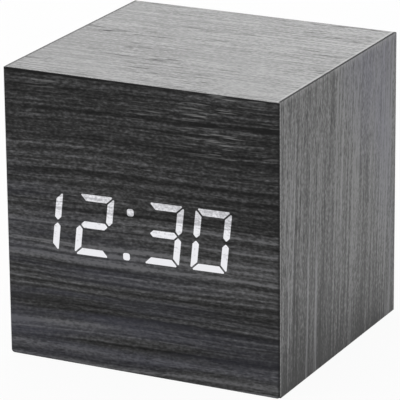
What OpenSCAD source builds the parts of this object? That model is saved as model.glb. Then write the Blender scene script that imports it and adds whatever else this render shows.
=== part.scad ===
// Cube-shaped digital alarm clock in a veneered case.
// The lit time shows through the front veneer. Lengths are in millimetres, angles in degrees.
// Origin: middle of the footprint on the table. +Z is up and the display faces -Y.

/* [Case] */
// Overall width of the case
case_w = 65; // [58:1:90]
// Overall depth of the case, front veneer included
case_d = 60; // [52:1:90]
// Overall height of the case
case_h = 65; // [58:1:90]
// Thickness of the wall boards
board_t = 3; // [2.5:0.25:5]
// Thickness of the veneer on every outer face
veneer_t = 0.6; // [0.4:0.1:0.9]
// Radius of the four eased long edges
edge_r = 0.15; // [0.1:0.05:1]
// Thickness of the board behind the front veneer
front_board_t = 3; // [2:0.5:4]
// Side of a glue block in a rear corner
block = 5.5; // [5:0.25:6]
// Length of a glue block
block_l = 12; // [10:1:16]

/* [Time shown] */
// Hour on the display
shown_hour = 12; // [1:1:12]
// Minute on the display
shown_minute = 30; // [0:1:59]

/* [Display] */
// Height of a digit
digit_h = 13.75; // [10:0.25:18]
// Width of a full digit
digit_w = 8.5; // [7:0.25:9.5]
// Width of a segment
stroke = 1.5; // [1:0.1:1.8]
// Dark gap between neighbouring segments
segment_gap = 0.4; // [0.3:0.05:0.7]
// Radius of the corners of a segment
tip_r = 0.2; // [0.1:0.05:0.25]
// Lean of the digits to the right
slant = 7.5; // [0:0.5:10]
// Turn of the whole lit row on the front, its right end up
display_turn = 1.3; // [0:0.1:2]
// Clear space between the two minute digits
digit_space = 2.7; // [2.4:0.1:4]
// Clear space that the colon stands in
colon_space = 8.1; // [6:0.1:9]
// Clear space between the leading stroke and the hour digit
lead_space = 3.9; // [3.5:0.1:5]
// Side of a colon dot
colon_dot = 1.6; // [1:0.1:2]
// Radius of the corners of a colon dot
colon_r = 0.45; // [0.2:0.05:0.45]
// Height of the upper colon dot over the middle of the digits
colon_high = 4; // [2:0.5:5]
// Depth of the lower colon dot under the middle of the digits
colon_low = 6; // [3:0.5:6.5]
// Veneer left over each segment for the light to pass
skin_t = 0.25; // [0.15:0.05:0.3]
// Thickness of the opal sheet behind the veneer
diffuser_t = 0.2; // [0.1:0.05:0.4]
// Depth of the reflector block
reflector_d = 7; // [5.5:0.5:9]
// Rim of the reflector around the digits
reflector_rim = 1.6; // [1.2:0.2:2.5]

/* [Batteries] */
// Diameter of a cell
cell_d = 10.5; // [8:0.1:10.6]
// Length of a cell over its button
cell_l = 44.5; // [40:0.5:46]
// Length of a pressed contact spring
spring_l = 3; // [2.5:0.25:4.5]
// Wire of a contact spring
spring_wire = 0.5; // [0.4:0.05:0.6]
// Thickness of a contact plate
contact_t = 0.4; // [0.3:0.05:0.5]

/* [Back cover] */
// Thickness of the cover plate
cover_t = 2; // [1.6:0.1:2.4]
// Depth of the cover behind the rear edge of the case
cover_recess = 1; // [0.5:0.1:2]
// Wall of the battery bay
bay_wall = 1.2; // [1:0.1:1.6]
// Thickness of the battery door
door_t = 1.8; // [1.5:0.1:2.2]
// Largest opening angle of the battery door
door_swing = 70; // [30:5:70]
// Head diameter of a cover screw
screw_head_d = 3.6; // [3.2:0.1:4]
// Shank diameter of a cover screw
screw_d = 2; // [1.6:0.1:2.2]
// Length of a cover screw under its head
screw_l = 9; // [7:0.5:11]

/* [Buttons and jack] */
// Width of a button
key_w = 6.5; // [5.5:0.25:7]
// Height of a button
key_h = 4.5; // [3.5:0.25:5]
// Length of a button outside the cover
key_proud = 1; // [0.6:0.1:2]
// Press of a button
key_travel = 0.5; // [0.3:0.1:0.8]
// Bore of the power jack
jack_bore = 3.6; // [3:0.1:4]
// Centre pin of the power jack
jack_pin_d = 1.3; // [1:0.1:1.4]

/* [Hidden] */
$fn = 48;

// Fits
fit_gap = 0.2;
key_gap = 0.25;
door_gap = 0.25;
cell_gap = 0.4;
window_gap = 0.3;
screw_gap = 0.05;

// Case planes
front_y = -case_d / 2;
back_y = case_d / 2;
wall_t = board_t + veneer_t;
inner_w = case_w - 2 * wall_t;
inner_z0 = wall_t;
inner_z1 = case_h - wall_t;
skin_y = front_y + veneer_t;
board_y = skin_y + front_board_t;

// Display planes and columns
display_z = case_h / 2;
reflector_y0 = skin_y + diffuser_t;
reflector_y1 = reflector_y0 + reflector_d;
pcb_t = 1.6;
pcb_y1 = reflector_y1 + pcb_t;
row_w = stroke + lead_space + 3 * digit_w + colon_space + digit_space;
lead_x = -row_w / 2 + stroke - digit_w / 2;
hour_x = -row_w / 2 + stroke + lead_space + digit_w / 2;
colon_x = hour_x + digit_w / 2 + colon_space / 2;
ten_x = colon_x + colon_space / 2 + digit_w / 2;
unit_x = ten_x + digit_w + digit_space;
lean = tan(slant);
reflector_w = row_w + digit_h * lean + 2 * reflector_rim;
reflector_h = digit_h + 2 * reflector_rim;
spacer_d = 4;
pcb_screw_d = 1.8;
pcb_hole_d = pcb_screw_d + 2 * fit_gap;
pcb_shank_d = pcb_screw_d - 2 * screw_gap;
pcb_head_d = 3.4;
pcb_head_t = 1.1;
spacer_x = reflector_w / 2 - spacer_d;
spacer_z = reflector_h / 2 + window_gap + spacer_d / 2 + 0.3;
pcb_w = reflector_w + 3;
pcb_h = 2 * spacer_z + spacer_d + 1;

// Bought-in pieces on the display board
chip_l = 10.2;
chip_w = 4;
chip_h = 1.6;
chip_stand = 0.2;
chip_pitch = 1.27;
leg_w = 0.4;
leg_l = 1.6;
leg_h = 0.6;
can_d = 2;
can_l = 6;
buzzer_d = 12;
buzzer_h = 8.5;
buzzer_hole = 2.2;
capacitor_d = 5;
capacitor_h = 7;
resistor_w = 0.9;
resistor_l = 1.7;
resistor_h = 0.5;
resistor_pitch = 2.6;
part_gap = 1.6;
chip_x = -pcb_w / 2 + spacer_d + chip_l / 2 + part_gap;
can_x = chip_x + chip_l / 2 + part_gap + can_d / 2;
capacitor_x = can_x + can_d / 2 + part_gap + capacitor_d / 2;
buzzer_x = capacitor_x + capacitor_d / 2 + part_gap + buzzer_d / 2;
part_z = display_z - part_gap;

// Segments a to g, clockwise from the top, the bar last
hw = digit_w / 2;
hh = digit_h / 2;
mitre = segment_gap / 2 * sqrt(2);
seg_a = [
    [-hw + mitre, hh],
    [hw - mitre, hh],
    [hw - stroke - mitre, hh - stroke],
    [-hw + stroke + mitre, hh - stroke]
];
seg_b = [
    [hw, hh - mitre],
    [hw, stroke / 2 + mitre],
    [hw - stroke / 2, mitre],
    [hw - stroke, stroke / 2 + mitre],
    [hw - stroke, hh - stroke - mitre]
];
seg_g = [
    [-hw + stroke / 2 + mitre, 0],
    [-hw + stroke + mitre, stroke / 2],
    [hw - stroke - mitre, stroke / 2],
    [hw - stroke / 2 - mitre, 0],
    [hw - stroke - mitre, -stroke / 2],
    [-hw + stroke + mitre, -stroke / 2]
];
function flip(p, sx, sz) = [for (q = p) [q.x * sx, q.y * sz]];
segments = [
    seg_a,
    seg_b,
    flip(seg_b, 1, -1),
    flip(seg_a, 1, -1),
    flip(seg_b, -1, -1),
    flip(seg_b, -1, 1),
    seg_g
];
function lean_over(p) = [for (q = p) [q.x + q.y * lean, q.y]];
function unit(v) = v / norm(v);
// An outline with each corner replaced by an arc, in steps of no more than arc_step degrees
arc_step = 30;
function rounded(p, r) = [
    for (i = [0:len(p) - 1])
        let (
            corner = p[i],
            before = unit(p[(i + len(p) - 1) % len(p)] - corner),
            after = unit(p[(i + 1) % len(p)] - corner),
            half = acos(before * after) / 2,
            sweep = 180 - 2 * half,
            steps = ceil(sweep / arc_step),
            centre = corner + unit(before + after) * r / sin(half),
            from = corner + before * r / tan(half) - centre,
            to = corner + after * r / tan(half) - centre
        )
        for (k = [0:steps])
            centre + (from * sin((1 - k / steps) * sweep) + to * sin(k / steps * sweep)) / sin(sweep)
];
function turn_over(x, z) = [
    x * cos(display_turn) - z * sin(display_turn),
    x * sin(display_turn) + z * cos(display_turn)
];
function middle(p) = [for (k = [0, 1]) (max([for (q = p) q[k]]) + min([for (q = p) q[k]])) / 2];
digit_segments = [
    [0, 1, 2, 3, 4, 5],
    [1, 2],
    [0, 1, 3, 4, 6],
    [0, 1, 2, 3, 6],
    [1, 2, 5, 6],
    [0, 2, 3, 5, 6],
    [0, 2, 3, 4, 5, 6],
    [0, 1, 2],
    [0, 1, 2, 3, 4, 5, 6],
    [0, 1, 2, 3, 5, 6]
];
all_segments = digit_segments[8];
lead_segments = [1, 2];
lead_lit = shown_hour > 9 ? lead_segments : [];
columns = [
    [lead_x, lead_segments, lead_lit],
    [hour_x, all_segments, digit_segments[shown_hour % 10]],
    [ten_x, all_segments, digit_segments[floor(shown_minute / 10)]],
    [unit_x, all_segments, digit_segments[shown_minute % 10]]
];
colon_rows = [colon_high, -colon_low];

// Rear planes
cover_y1 = back_y - cover_recess;
cover_y0 = cover_y1 - cover_t;
cover_w = inner_w - 2 * fit_gap;
cover_z0 = inner_z0 + fit_gap;
cover_z1 = inner_z1 - fit_gap;
screw_x = inner_w / 2 - block / 2;
screw_z0 = inner_z0 + block / 2;
screw_z1 = inner_z1 - block / 2;
screw_head_t = 1.1;
screw_seat = 1.2;

// Battery bay and door
bay_l = cell_l + spring_l + 2 * contact_t;
bay_h = 3 * cell_d + 4 * cell_gap;
bay_z0 = inner_z0 + block + fit_gap + bay_wall;
bay_z1 = bay_z0 + bay_h;
door_ledge = bay_wall - 0.5;
door_w = bay_l + 2 * door_ledge;
door_z0 = bay_z0 - door_ledge;
door_z1 = bay_z1 + door_ledge;
door_y0 = cover_y1 - door_t;
cell_y = door_y0 - cell_gap - cell_d / 2;
bay_y = cell_y - cell_d / 2 - cell_gap;
cell_pitch = cell_d + cell_gap;
cell_rows = [for (k = [0:2]) bay_z0 + cell_gap + cell_d / 2 + k * cell_pitch];
plate_h = cell_d - 2;
plate_y1 = cell_y + cell_d / 2 - 1;
tab_w = 3;
tab_l = 2;
hinge_y = cover_y1 - door_t / 2;
hinge_z = door_z0 + door_t / 2;
tongue_w = 7;
tongue_t = 0.9;
tongue_reach = 1.6;
tongue_x = bay_l / 4;
tongue_y1 = min(cover_y0, door_y0) - 0.15;
tongue_y0 = tongue_y1 - tongue_t;
latch_w = 10;
latch_l = 8;
latch_slit = 0.8;

// Buttons, switches and jack in one row above the bay
key_flange = 0.6;
flange_t = 1;
flange_y1 = cover_y0 - 0.1;
flange_y0 = flange_y1 - flange_t;
key_y1 = cover_y1 + key_proud;
dish_r = 15;
dish_depth = 0.2;
plunger_d = 3.4;
plunger_l = 1.2;
plunger_deep = 1;
switch_w = 6;
switch_h = 3.5;
switch_y1 = flange_y0 - plunger_l;
switch_y0 = switch_y1 - switch_h;
control_t = 1.2;
control_y1 = switch_y0;
control_y0 = control_y1 - control_t;
row_z = (bay_z1 + bay_wall + cover_z1) / 2;
row_gap = 0.4;
jack_w = 6.2;
jack_h = 6.2;
jack_nose_d = 5.6;
boss_d = 3.8;
key_full = key_w + 2 * key_flange;
key_pitch = key_full + row_gap;
control_row = jack_w + boss_d + 3 * key_full + boss_d + 5 * row_gap;
jack_x = -control_row / 2 + jack_w / 2;
inner_boss_x = -control_row / 2 + jack_w + row_gap + boss_d / 2;
up_x = inner_boss_x + boss_d / 2 + row_gap + key_full / 2;
down_x = up_x + key_pitch;
set_x = down_x + key_pitch;
outer_boss_x = set_x + key_full / 2 + row_gap + boss_d / 2;
control_w = control_row + 0.4;
control_gap = 1;
control_h = cover_z1 - bay_z1 - bay_wall - 2 * control_gap;
control_screw_d = 1.6;
control_shank_d = control_screw_d - 2 * screw_gap;
control_hole_d = control_screw_d + 2 * fit_gap;
control_head_d = 3.2;
control_head_t = 1;
control_bite = 4;

// Plugs, ribbon and leads
socket_w = 9;
socket_h = 3.6;
socket_d = 5;
socket_slot = 2;
ribbon_w = 7.6;
ribbon_t = 0.8;
ribbon_x = 4;
ribbon_z0 = display_z + pcb_h / 2 - 4;
lead_d = 1.1;
lead_bow = 9;
joint_gap = 0.1;

// Shows whether a coil of the contact springs keeps clear of the next one
spring_turns = 3;
spring_r0 = cell_d * 0.32;
spring_r1 = cell_d * 0.22;
spring_run = spring_l - spring_wire - joint_gap;
spring_step = [spring_run / spring_turns, (spring_r0 - spring_r1) / spring_turns];
echo(least_spring_gap = norm(spring_step) - spring_wire);

// Draws an outline given as x and z from one depth to another
module along_y(y0, y1) {
    translate([0, y1, 0]) rotate([90, 0, 0]) linear_extrude(y1 - y0) children();
}

// Draws an outline given as y and z from one x to another
module along_x(x0, x1) {
    translate([x0, 0, 0]) rotate([90, 0, 90]) linear_extrude(x1 - x0) children();
}

// A round bar along the depth
module bar_y(d, x, z, y0, y1) {
    translate([x, y1, z]) rotate([90, 0, 0]) cylinder(d = d, h = y1 - y0);
}

// A box given by its corners
module span(a, b) {
    translate(a) cube(b - a);
}

// Outline of the case with its eased corners
module case_outline() {
    translate([-case_w / 2 + edge_r, 0]) square([case_w - 2 * edge_r, case_h]);
    translate([-case_w / 2, edge_r]) square([case_w, case_h - 2 * edge_r]);
    for (x = [-1, 1]) {
        translate([x * (case_w / 2 - edge_r), edge_r]) circle(r = edge_r);
        translate([x * (case_w / 2 - edge_r), case_h - edge_r]) circle(r = edge_r);
    }
}

// A wall's end section: mitred at both ends, its outer face on the x axis
module mitred(length, thick) {
    polygon([[-length / 2, 0], [length / 2, 0], [length / 2 - thick, -thick], [-length / 2 + thick, -thick]]);
}

// Moves a wall's end section to a side of the case: 0 top, 1 right, 2 bottom, 3 left
module on_side(side, depth) {
    places = [
        [0, case_h - depth],
        [case_w / 2 - depth, case_h / 2],
        [0, depth],
        [-case_w / 2 + depth, case_h / 2]
    ];
    translate(places[side]) rotate(-90 * side) children();
}

function side_length(side) = side % 2 == 0 ? case_w : case_h;

module wall_board(side) {
    along_y(skin_y, back_y)
        on_side(side, veneer_t) mitred(side_length(side) - 2 * veneer_t, board_t);
}

// The side sheets cover the ends of the top and bottom sheets
module wall_veneer(side) {
    covered = side % 2 == 0 ? veneer_t : 0;
    sheet_l = side_length(side) - 2 * covered;
    intersection() {
        along_y(skin_y, back_y) on_side(side, 0)
            translate([-sheet_l / 2, -veneer_t]) square([sheet_l, veneer_t]);
        along_y(skin_y - 1, back_y + 1) case_outline();
    }
}

// Turns an outline about the middle of the display
module turned() {
    translate([0, display_z]) rotate(display_turn) children();
}

// One leaning segment of a digit, its corners rounded
module segment(x, k) {
    turned() translate([x, 0]) polygon(rounded(lean_over(segments[k]), tip_r));
}

// One dot of the colon, a square with round corners
module dot(z) {
    c = colon_dot / 2;
    corners = [[-c, -c], [c, -c], [c, c], [-c, c]];
    turned() translate([colon_x + z * lean, z]) polygon(rounded(corners, colon_r));
}

module lit_shapes(y0, y1) {
    for (col = columns) for (k = col[2]) along_y(y0, y1) segment(col[0], k);
    for (z = colon_rows) along_y(y0, y1) dot(z);
}

module segment_shapes(y0, y1) {
    for (col = columns) for (k = col[1]) along_y(y0, y1) segment(col[0], k);
    for (z = colon_rows) along_y(y0, y1) dot(z);
}

// A stadium outline: full-round ends on a short bar
module stadium(x, z, w, h) {
    translate([x - (w - h) / 2, z - h / 2]) square([w - h, h]);
    translate([x - (w - h) / 2, z]) circle(d = h);
    translate([x + (w - h) / 2, z]) circle(d = h);
}

// Screw along the depth: sink is its way in, 1 towards the front, -1 towards the back
module screw(x, z, seat_y, sink, head_d, head_t, shank_d, length) {
    head_y = seat_y + sink * head_t;
    difference() {
        union() {
            bar_y(head_d, x, z, min(seat_y, head_y), max(seat_y, head_y));
            bar_y(shank_d, x, z, min(seat_y, seat_y - sink * length), max(seat_y, seat_y - sink * length));
        }
        for (a = [0, 90])
            translate([x, head_y, z])
                rotate([0, a, 0]) cube([head_d * 0.6, head_t, head_d * 0.16], center = true);
    }
}

// Round bar swept along points that bend in y and z
module swept_lead(points) {
    sides = 8;
    n = len(points);
    rings = [
        for (k = [0:n - 1])
            let (t = points[min(k + 1, n - 1)] - points[max(k - 1, 0)])
            let (u = cross(t, [1, 0, 0]) / norm(cross(t, [1, 0, 0])))
            let (v = cross(u, t) / norm(cross(u, t)))
            for (a = [0:sides - 1])
                points[k] + lead_d / 2 * (u * cos(a * 360 / sides) + v * sin(a * 360 / sides))
    ];
    skinned(rings, n, sides);
}

// Closed skin over rings of points
module skinned(rings, n, sides) {
    last = (n - 1) * sides;
    walls = [
        for (k = [0:n - 2]) for (a = [0:sides - 1])
            let (p = k * sides + a, q = k * sides + (a + 1) % sides)
            for (f = [[p, p + sides, q], [q, p + sides, q + sides]]) f
    ];
    first_cap = [for (a = [1:sides - 2]) [0, a, a + 1]];
    last_cap = [for (a = [1:sides - 2]) [last, last + a + 1, last + a]];
    polyhedron(points = rings, faces = concat(walls, first_cap, last_cap));
}

function curve(p, t) =
    p[0] * pow(1 - t, 3) + 3 * p[1] * t * pow(1 - t, 2) + 3 * p[2] * (1 - t) * pow(t, 2) + p[3] * pow(t, 3);

// Cell row k, its button to the left for even rows
module cell(k) {
    body_l = cell_l - 1;
    x0 = -bay_l / 2 + contact_t;
    outline = [
        [0, 0],
        [cell_d / 2 - 0.5, 0],
        [cell_d / 2, 0.5],
        [cell_d / 2, body_l - 0.6],
        [cell_d / 2 - 0.6, body_l],
        [1.9, body_l],
        [1.9, cell_l],
        [0, cell_l]
    ];
    mirror([k % 2, 0, 0])
        translate([x0 + cell_l, cell_y, cell_rows[k]]) rotate([0, -90, 0]) rotate_extrude() polygon(outline);
}

// Spring of row k, wound from its plate towards the cell
module contact_spring(k) {
    per_turn = 8;
    sides = 6;
    n = spring_turns * per_turn + 1;
    side = k % 2 == 0 ? 1 : -1;
    x0 = bay_l / 2 - contact_t - joint_gap / 2 - spring_wire / 2;
    rings = [
        for (i = [0:n - 1])
            let (s = i / (n - 1), a = i * 360 / per_turn)
            let (r = spring_r0 + (spring_r1 - spring_r0) * s)
            for (b = [0:sides - 1])
                let (rr = r + spring_wire / 2 * cos(b * 360 / sides))
                [x0 - spring_run * s + spring_wire / 2 * sin(b * 360 / sides), rr * cos(a), rr * sin(a)]
    ];
    mirror([side < 0 ? 1 : 0, 0, 0]) translate([0, cell_y, cell_rows[k]]) skinned(rings, n, sides);
}

// Plate at one end of the bay that reaches from one cell row to another
module contact_plate(side, row_a, row_b) {
    x1 = side * bay_l / 2;
    x0 = x1 - side * contact_t;
    span(
        [min(x0, x1), bay_y, cell_rows[row_a] - plate_h / 2],
        [max(x0, x1), plate_y1, cell_rows[row_b] + plate_h / 2]
    );
}

// Solder tab that passes the bay's floor
module contact_tab(side, row, grow) {
    x1 = side * bay_l / 2;
    x0 = x1 - side * (contact_t + grow);
    z = cell_rows[row];
    span(
        [min(x0, x1), bay_y - bay_wall - tab_l, z - tab_w / 2 - grow],
        [max(x0, x1), bay_y + 0.1, z + tab_w / 2 + grow]
    );
}

// Lead from a contact's tab to the control board
module contact_lead(side, row) {
    from = [side * (bay_l / 2 - contact_t - lead_d / 2), bay_y - bay_wall - tab_l * 0.4, cell_rows[row]];
    to = [side * (control_w / 2 - lead_d * 1.4), control_y0 - joint_gap, row_z - side * lead_d * 2];
    route = [from, from - [0, lead_bow, 0], to - [0, lead_bow * 1.5, 0], to];
    swept_lead([for (k = [0:16]) curve(route, k / 16)]);
}

// Cap of a button with its collar inside the cover
module key(x) {
    difference() {
        union() {
            along_y(flange_y1 - 0.2, key_y1) stadium(x, row_z, key_w, key_h);
            along_y(flange_y0, flange_y1) stadium(x, row_z, key_w + 2 * key_flange, key_h + 2 * key_flange);
        }
        translate([x, key_y1 + dish_r - dish_depth, row_z]) sphere(r = dish_r);
    }
}

module plunger(x) {
    bar_y(plunger_d, x, row_z, switch_y1 - plunger_deep, flange_y0);
}

// Plug socket with the slot for the ribbon on its free side
module plug_socket(x, z, y0, y1, open_y) {
    difference() {
        span([x - socket_w / 2, y0, z - socket_h / 2], [x + socket_w / 2, y1, z + socket_h / 2]);
        span(
            [x - ribbon_w / 2 - fit_gap, open_y - socket_slot, z - ribbon_t / 2 - fit_gap],
            [x + ribbon_w / 2 + fit_gap, open_y + socket_slot, z + ribbon_t / 2 + fit_gap]
        );
    }
}

module top_panel() {
    color([0.45, 0.33, 0.22]) wall_board(0);
}

module bottom_panel() {
    color([0.45, 0.33, 0.22]) wall_board(2);
}

module left_panel() {
    color([0.45, 0.33, 0.22]) wall_board(3);
}

module right_panel() {
    color([0.45, 0.33, 0.22]) wall_board(1);
}

module top_veneer() {
    color([0.12, 0.12, 0.12]) wall_veneer(0);
}

module bottom_veneer() {
    color([0.12, 0.12, 0.12]) wall_veneer(2);
}

module left_veneer() {
    color([0.12, 0.12, 0.12]) wall_veneer(3);
}

module right_veneer() {
    color([0.12, 0.12, 0.12]) wall_veneer(1);
}

module front_board() {
    color([0.45, 0.33, 0.22]) difference() {
        span([-inner_w / 2, skin_y, inner_z0], [inner_w / 2, board_y, inner_z1]);
        span(
            [-reflector_w / 2 - window_gap, skin_y - 1, display_z - reflector_h / 2 - window_gap],
            [reflector_w / 2 + window_gap, board_y + 1, display_z + reflector_h / 2 + window_gap]
        );
        for (x = [-1, 1]) for (z = [-1, 1])
            bar_y(pcb_screw_d, x * spacer_x, display_z + z * spacer_z, skin_y + 0.6, board_y + 1);
    }
}

module front_veneer() {
    color([0.1, 0.1, 0.1]) difference() {
        along_y(front_y, skin_y) case_outline();
        segment_shapes(front_y + skin_t, skin_y + 1);
        lit_shapes(front_y - 1, front_y + skin_t + 0.1);
    }
}

module lit_segments() {
    color([0.95, 0.95, 0.97]) lit_shapes(front_y, front_y + skin_t);
}

module corner_blocks() {
    color([0.72, 0.58, 0.4])
        for (x = [-1, 1]) for (z = [screw_z0, screw_z1]) difference() {
            span(
                [x * screw_x - block / 2, cover_y0 - block_l, z - block / 2],
                [x * screw_x + block / 2, cover_y0, z + block / 2]
            );
            bar_y(screw_d + 2 * screw_gap, x * screw_x, z, cover_y0 - screw_l, cover_y0 + 1);
        }
}

module diffuser_sheet() {
    color([0.9, 0.9, 0.88])
        span(
            [-reflector_w / 2, skin_y, display_z - reflector_h / 2],
            [reflector_w / 2, reflector_y0, display_z + reflector_h / 2]
        );
}

module display_reflector() {
    color([0.85, 0.85, 0.83]) difference() {
        span(
            [-reflector_w / 2, reflector_y0, display_z - reflector_h / 2],
            [reflector_w / 2, reflector_y1, display_z + reflector_h / 2]
        );
        segment_shapes(reflector_y0 - 1, reflector_y1 + 1);
    }
}

module segment_leds() {
    chip = [1.4, 0.7, 0.8];
    color([0.95, 0.9, 0.6]) {
        for (col = columns) for (k = col[1])
            let (c = middle(segments[k]), upright = k != 0 && k != 3 && k != 6)
            let (p = turn_over(col[0] + c.x + c.y * lean, c.y))
            translate([p.x, reflector_y1 - chip.y / 2, display_z + p.y])
                cube(upright ? [chip.z, chip.y, chip.x] : chip, center = true);
        for (z = colon_rows)
            let (p = turn_over(colon_x + z * lean, z))
            translate([p.x, reflector_y1 - chip.y / 2, display_z + p.y])
                cube([chip.z, chip.y, chip.z], center = true);
    }
}

module display_board() {
    color([0.05, 0.3, 0.16]) difference() {
        span([-pcb_w / 2, reflector_y1, display_z - pcb_h / 2], [pcb_w / 2, pcb_y1, display_z + pcb_h / 2]);
        for (x = [-1, 1]) for (z = [-1, 1])
            bar_y(pcb_hole_d, x * spacer_x, display_z + z * spacer_z, reflector_y1 - 1, pcb_y1 + 1);
    }
}

module display_spacers() {
    color([0.88, 0.88, 0.84])
        for (x = [-1, 1]) for (z = [-1, 1]) difference() {
            bar_y(spacer_d, x * spacer_x, display_z + z * spacer_z, board_y, reflector_y1);
            bar_y(pcb_hole_d, x * spacer_x, display_z + z * spacer_z, board_y - 1, reflector_y1 + 1);
        }
}

module display_screws() {
    length = pcb_y1 - board_y + front_board_t - 1;
    color([0.7, 0.7, 0.72])
        for (x = [-1, 1]) for (z = [-1, 1])
            screw(
                x * spacer_x, display_z + z * spacer_z, pcb_y1,
                1, pcb_head_d, pcb_head_t, pcb_shank_d, length
            );
}

module clock_chip() {
    legs = 8;
    color([0.12, 0.12, 0.13]) {
        translate([chip_x, pcb_y1 + chip_stand + chip_h / 2, part_z])
            cube([chip_l, chip_h, chip_w], center = true);
        for (k = [0:legs - 1]) for (s = [-1, 1])
            translate([
                chip_x + (k - (legs - 1) / 2) * chip_pitch,
                pcb_y1 + leg_h / 2,
                part_z + s * (chip_w + leg_l / 2) / 2
            ])
                cube([leg_w, leg_h, leg_l], center = true);
    }
}

module crystal() {
    wire = can_d * 0.15;
    color([0.75, 0.75, 0.76])
        translate([can_x, pcb_y1 + can_d / 2, part_z]) {
            cylinder(d = can_d, h = can_l, center = true);
            for (x = [-1, 1])
                translate([x * can_d / 5, -can_d * 0.3, -can_l * 0.65])
                    cylinder(d = wire, h = can_l * 0.4, center = true);
        }
}

module buzzer() {
    color([0.1, 0.1, 0.1]) difference() {
        bar_y(buzzer_d, buzzer_x, part_z, pcb_y1, pcb_y1 + buzzer_h);
        bar_y(buzzer_hole, buzzer_x, part_z, pcb_y1 + buzzer_h - 2, pcb_y1 + buzzer_h + 1);
        for (x = [-1, 1])
            translate([buzzer_x + x * buzzer_d / 2, pcb_y1 + buzzer_h - 1, part_z])
                cube([2, 2.4, 1.6], center = true);
    }
}

module smoothing_capacitor() {
    color([0.16, 0.17, 0.3])
        bar_y(capacitor_d, capacitor_x, part_z, pcb_y1, pcb_y1 + capacitor_h);
}

module board_resistors() {
    z = part_z - chip_w / 2 - leg_l - part_gap - resistor_l / 2;
    color([0.15, 0.15, 0.16])
        for (k = [0:7])
            translate([chip_x - chip_l / 2 + k * resistor_pitch, pcb_y1 + resistor_h / 2, z])
                cube([resistor_w, resistor_h, resistor_l], center = true);
}

module display_socket() {
    color([0.92, 0.92, 0.88])
        plug_socket(ribbon_x, ribbon_z0, pcb_y1, pcb_y1 + socket_d, pcb_y1 + socket_d);
}

module control_socket() {
    color([0.92, 0.92, 0.88])
        plug_socket(ribbon_x, row_z, control_y0 - socket_d, control_y0, control_y0 - socket_d);
}

module ribbon_cable() {
    steps = 24;
    p0 = [pcb_y1 + socket_d - socket_slot + joint_gap, ribbon_z0];
    p3 = [control_y0 - socket_d + socket_slot - joint_gap, row_z];
    reach = (p3.x - p0.x) * 0.6;
    route = [p0, p0 + [reach, 0], p3 - [reach, 0], p3];
    points = [for (k = [0:steps]) curve(route, k / steps)];
    slopes = [for (k = [0:steps]) k % steps == 0 ? [1, 0] : points[k + 1] - points[k - 1]];
    sides = [for (t = slopes) [-t.y, t.x] / norm(t) * ribbon_t / 2];
    upper = [for (k = [0:steps]) points[k] + sides[k]];
    lower = [for (k = [0:steps]) points[steps - k] - sides[steps - k]];
    color([0.6, 0.6, 0.62])
        along_x(ribbon_x - ribbon_w / 2, ribbon_x + ribbon_w / 2) polygon(concat(upper, lower));
}

module back_cover() {
    color([0.07, 0.07, 0.07]) difference() {
        union() {
            span([-cover_w / 2, cover_y0, cover_z0], [cover_w / 2, cover_y1, cover_z1]);
            span(
                [-bay_l / 2 - bay_wall, bay_y - bay_wall, bay_z0 - bay_wall],
                [bay_l / 2 + bay_wall, cover_y0 + 0.1, bay_z1 + bay_wall]
            );
            for (x = [inner_boss_x, outer_boss_x]) bar_y(boss_d, x, row_z, control_y1, cover_y0 + 0.1);
        }
        // open half of the bay over the cells, and one cradle under each cell
        span([-bay_l / 2, cell_y, bay_z0], [bay_l / 2, cover_y1 + 1, bay_z1]);
        for (z = cell_rows)
            translate([-bay_l / 2, cell_y, z]) rotate([0, 90, 0])
                cylinder(d = cell_d + 2 * cell_gap, h = bay_l);
        // slots for the contact plates and their tabs
        for (s = [-1, 1])
            span(
                [s * (bay_l / 2 - contact_t / 2) - contact_t / 2 - 0.05, bay_y, bay_z0],
                [s * (bay_l / 2 - contact_t / 2) + contact_t / 2 + 0.05, cell_y + 1, bay_z1]
            );
        contact_tab(1, 0, 0.15);
        contact_tab(-1, 2, 0.15);
        // seat of the battery door, its finger scoop and the pockets of its tongues
        span(
            [-door_w / 2 - door_gap, door_y0, door_z0 - door_gap],
            [door_w / 2 + door_gap, cover_y1 + 1, door_z1 + door_gap]
        );
        bar_y(2 * latch_w * 0.6, 0, door_z1 - 3, cover_y1 - 1, cover_y1 + 1);
        for (s = [-1, 1])
            span(
                [s * tongue_x - tongue_w / 2 - door_gap, tongue_y0 - 2.2, bay_z0 - bay_wall - 0.5],
                [s * tongue_x + tongue_w / 2 + door_gap, door_y0 + 0.1, bay_z0 + 0.1]
            );
        for (s = [-1, 1])
            span(
                [s * tongue_x - tongue_w / 2 - door_gap, cover_y0 - 0.1, door_z0 - door_gap],
                [s * tongue_x + tongue_w / 2 + door_gap, door_y0 + 0.1, bay_z0 + 0.1]
            );
        // buttons and jack
        for (x = [set_x, down_x, up_x])
            along_y(cover_y0 - 1, cover_y1 + 1) stadium(x, row_z, key_w + 2 * key_gap, key_h + 2 * key_gap);
        bar_y(jack_nose_d + 2 * fit_gap, jack_x, row_z, cover_y0 - 1, cover_y1 + 1);
        // screws of the cover and of the control board
        for (x = [-1, 1]) for (z = [screw_z0, screw_z1]) {
            bar_y(screw_d + 2 * fit_gap, x * screw_x, z, cover_y0 - 1, cover_y1 + 1);
            bar_y(screw_head_d + 2 * fit_gap, x * screw_x, z, cover_y1 - screw_seat, cover_y1 + 1);
        }
        for (x = [inner_boss_x, outer_boss_x])
            bar_y(control_screw_d, x, row_z, control_y1 - 1, cover_y0 - 0.6);
        // sound holes of the buzzer
        for (k = [-2:2]) bar_y(1.2, k * 2.6, (cover_z0 + door_z0) / 2, cover_y0 - 1, cover_y1 + 1);
    }
}

module cover_screws() {
    color([0.2, 0.2, 0.21])
        for (x = [-1, 1]) for (z = [screw_z0, screw_z1])
            screw(
                x * screw_x, z, cover_y1 - screw_seat, 1, screw_head_d,
                screw_head_t, screw_d, screw_l - cover_t
            );
}

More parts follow.
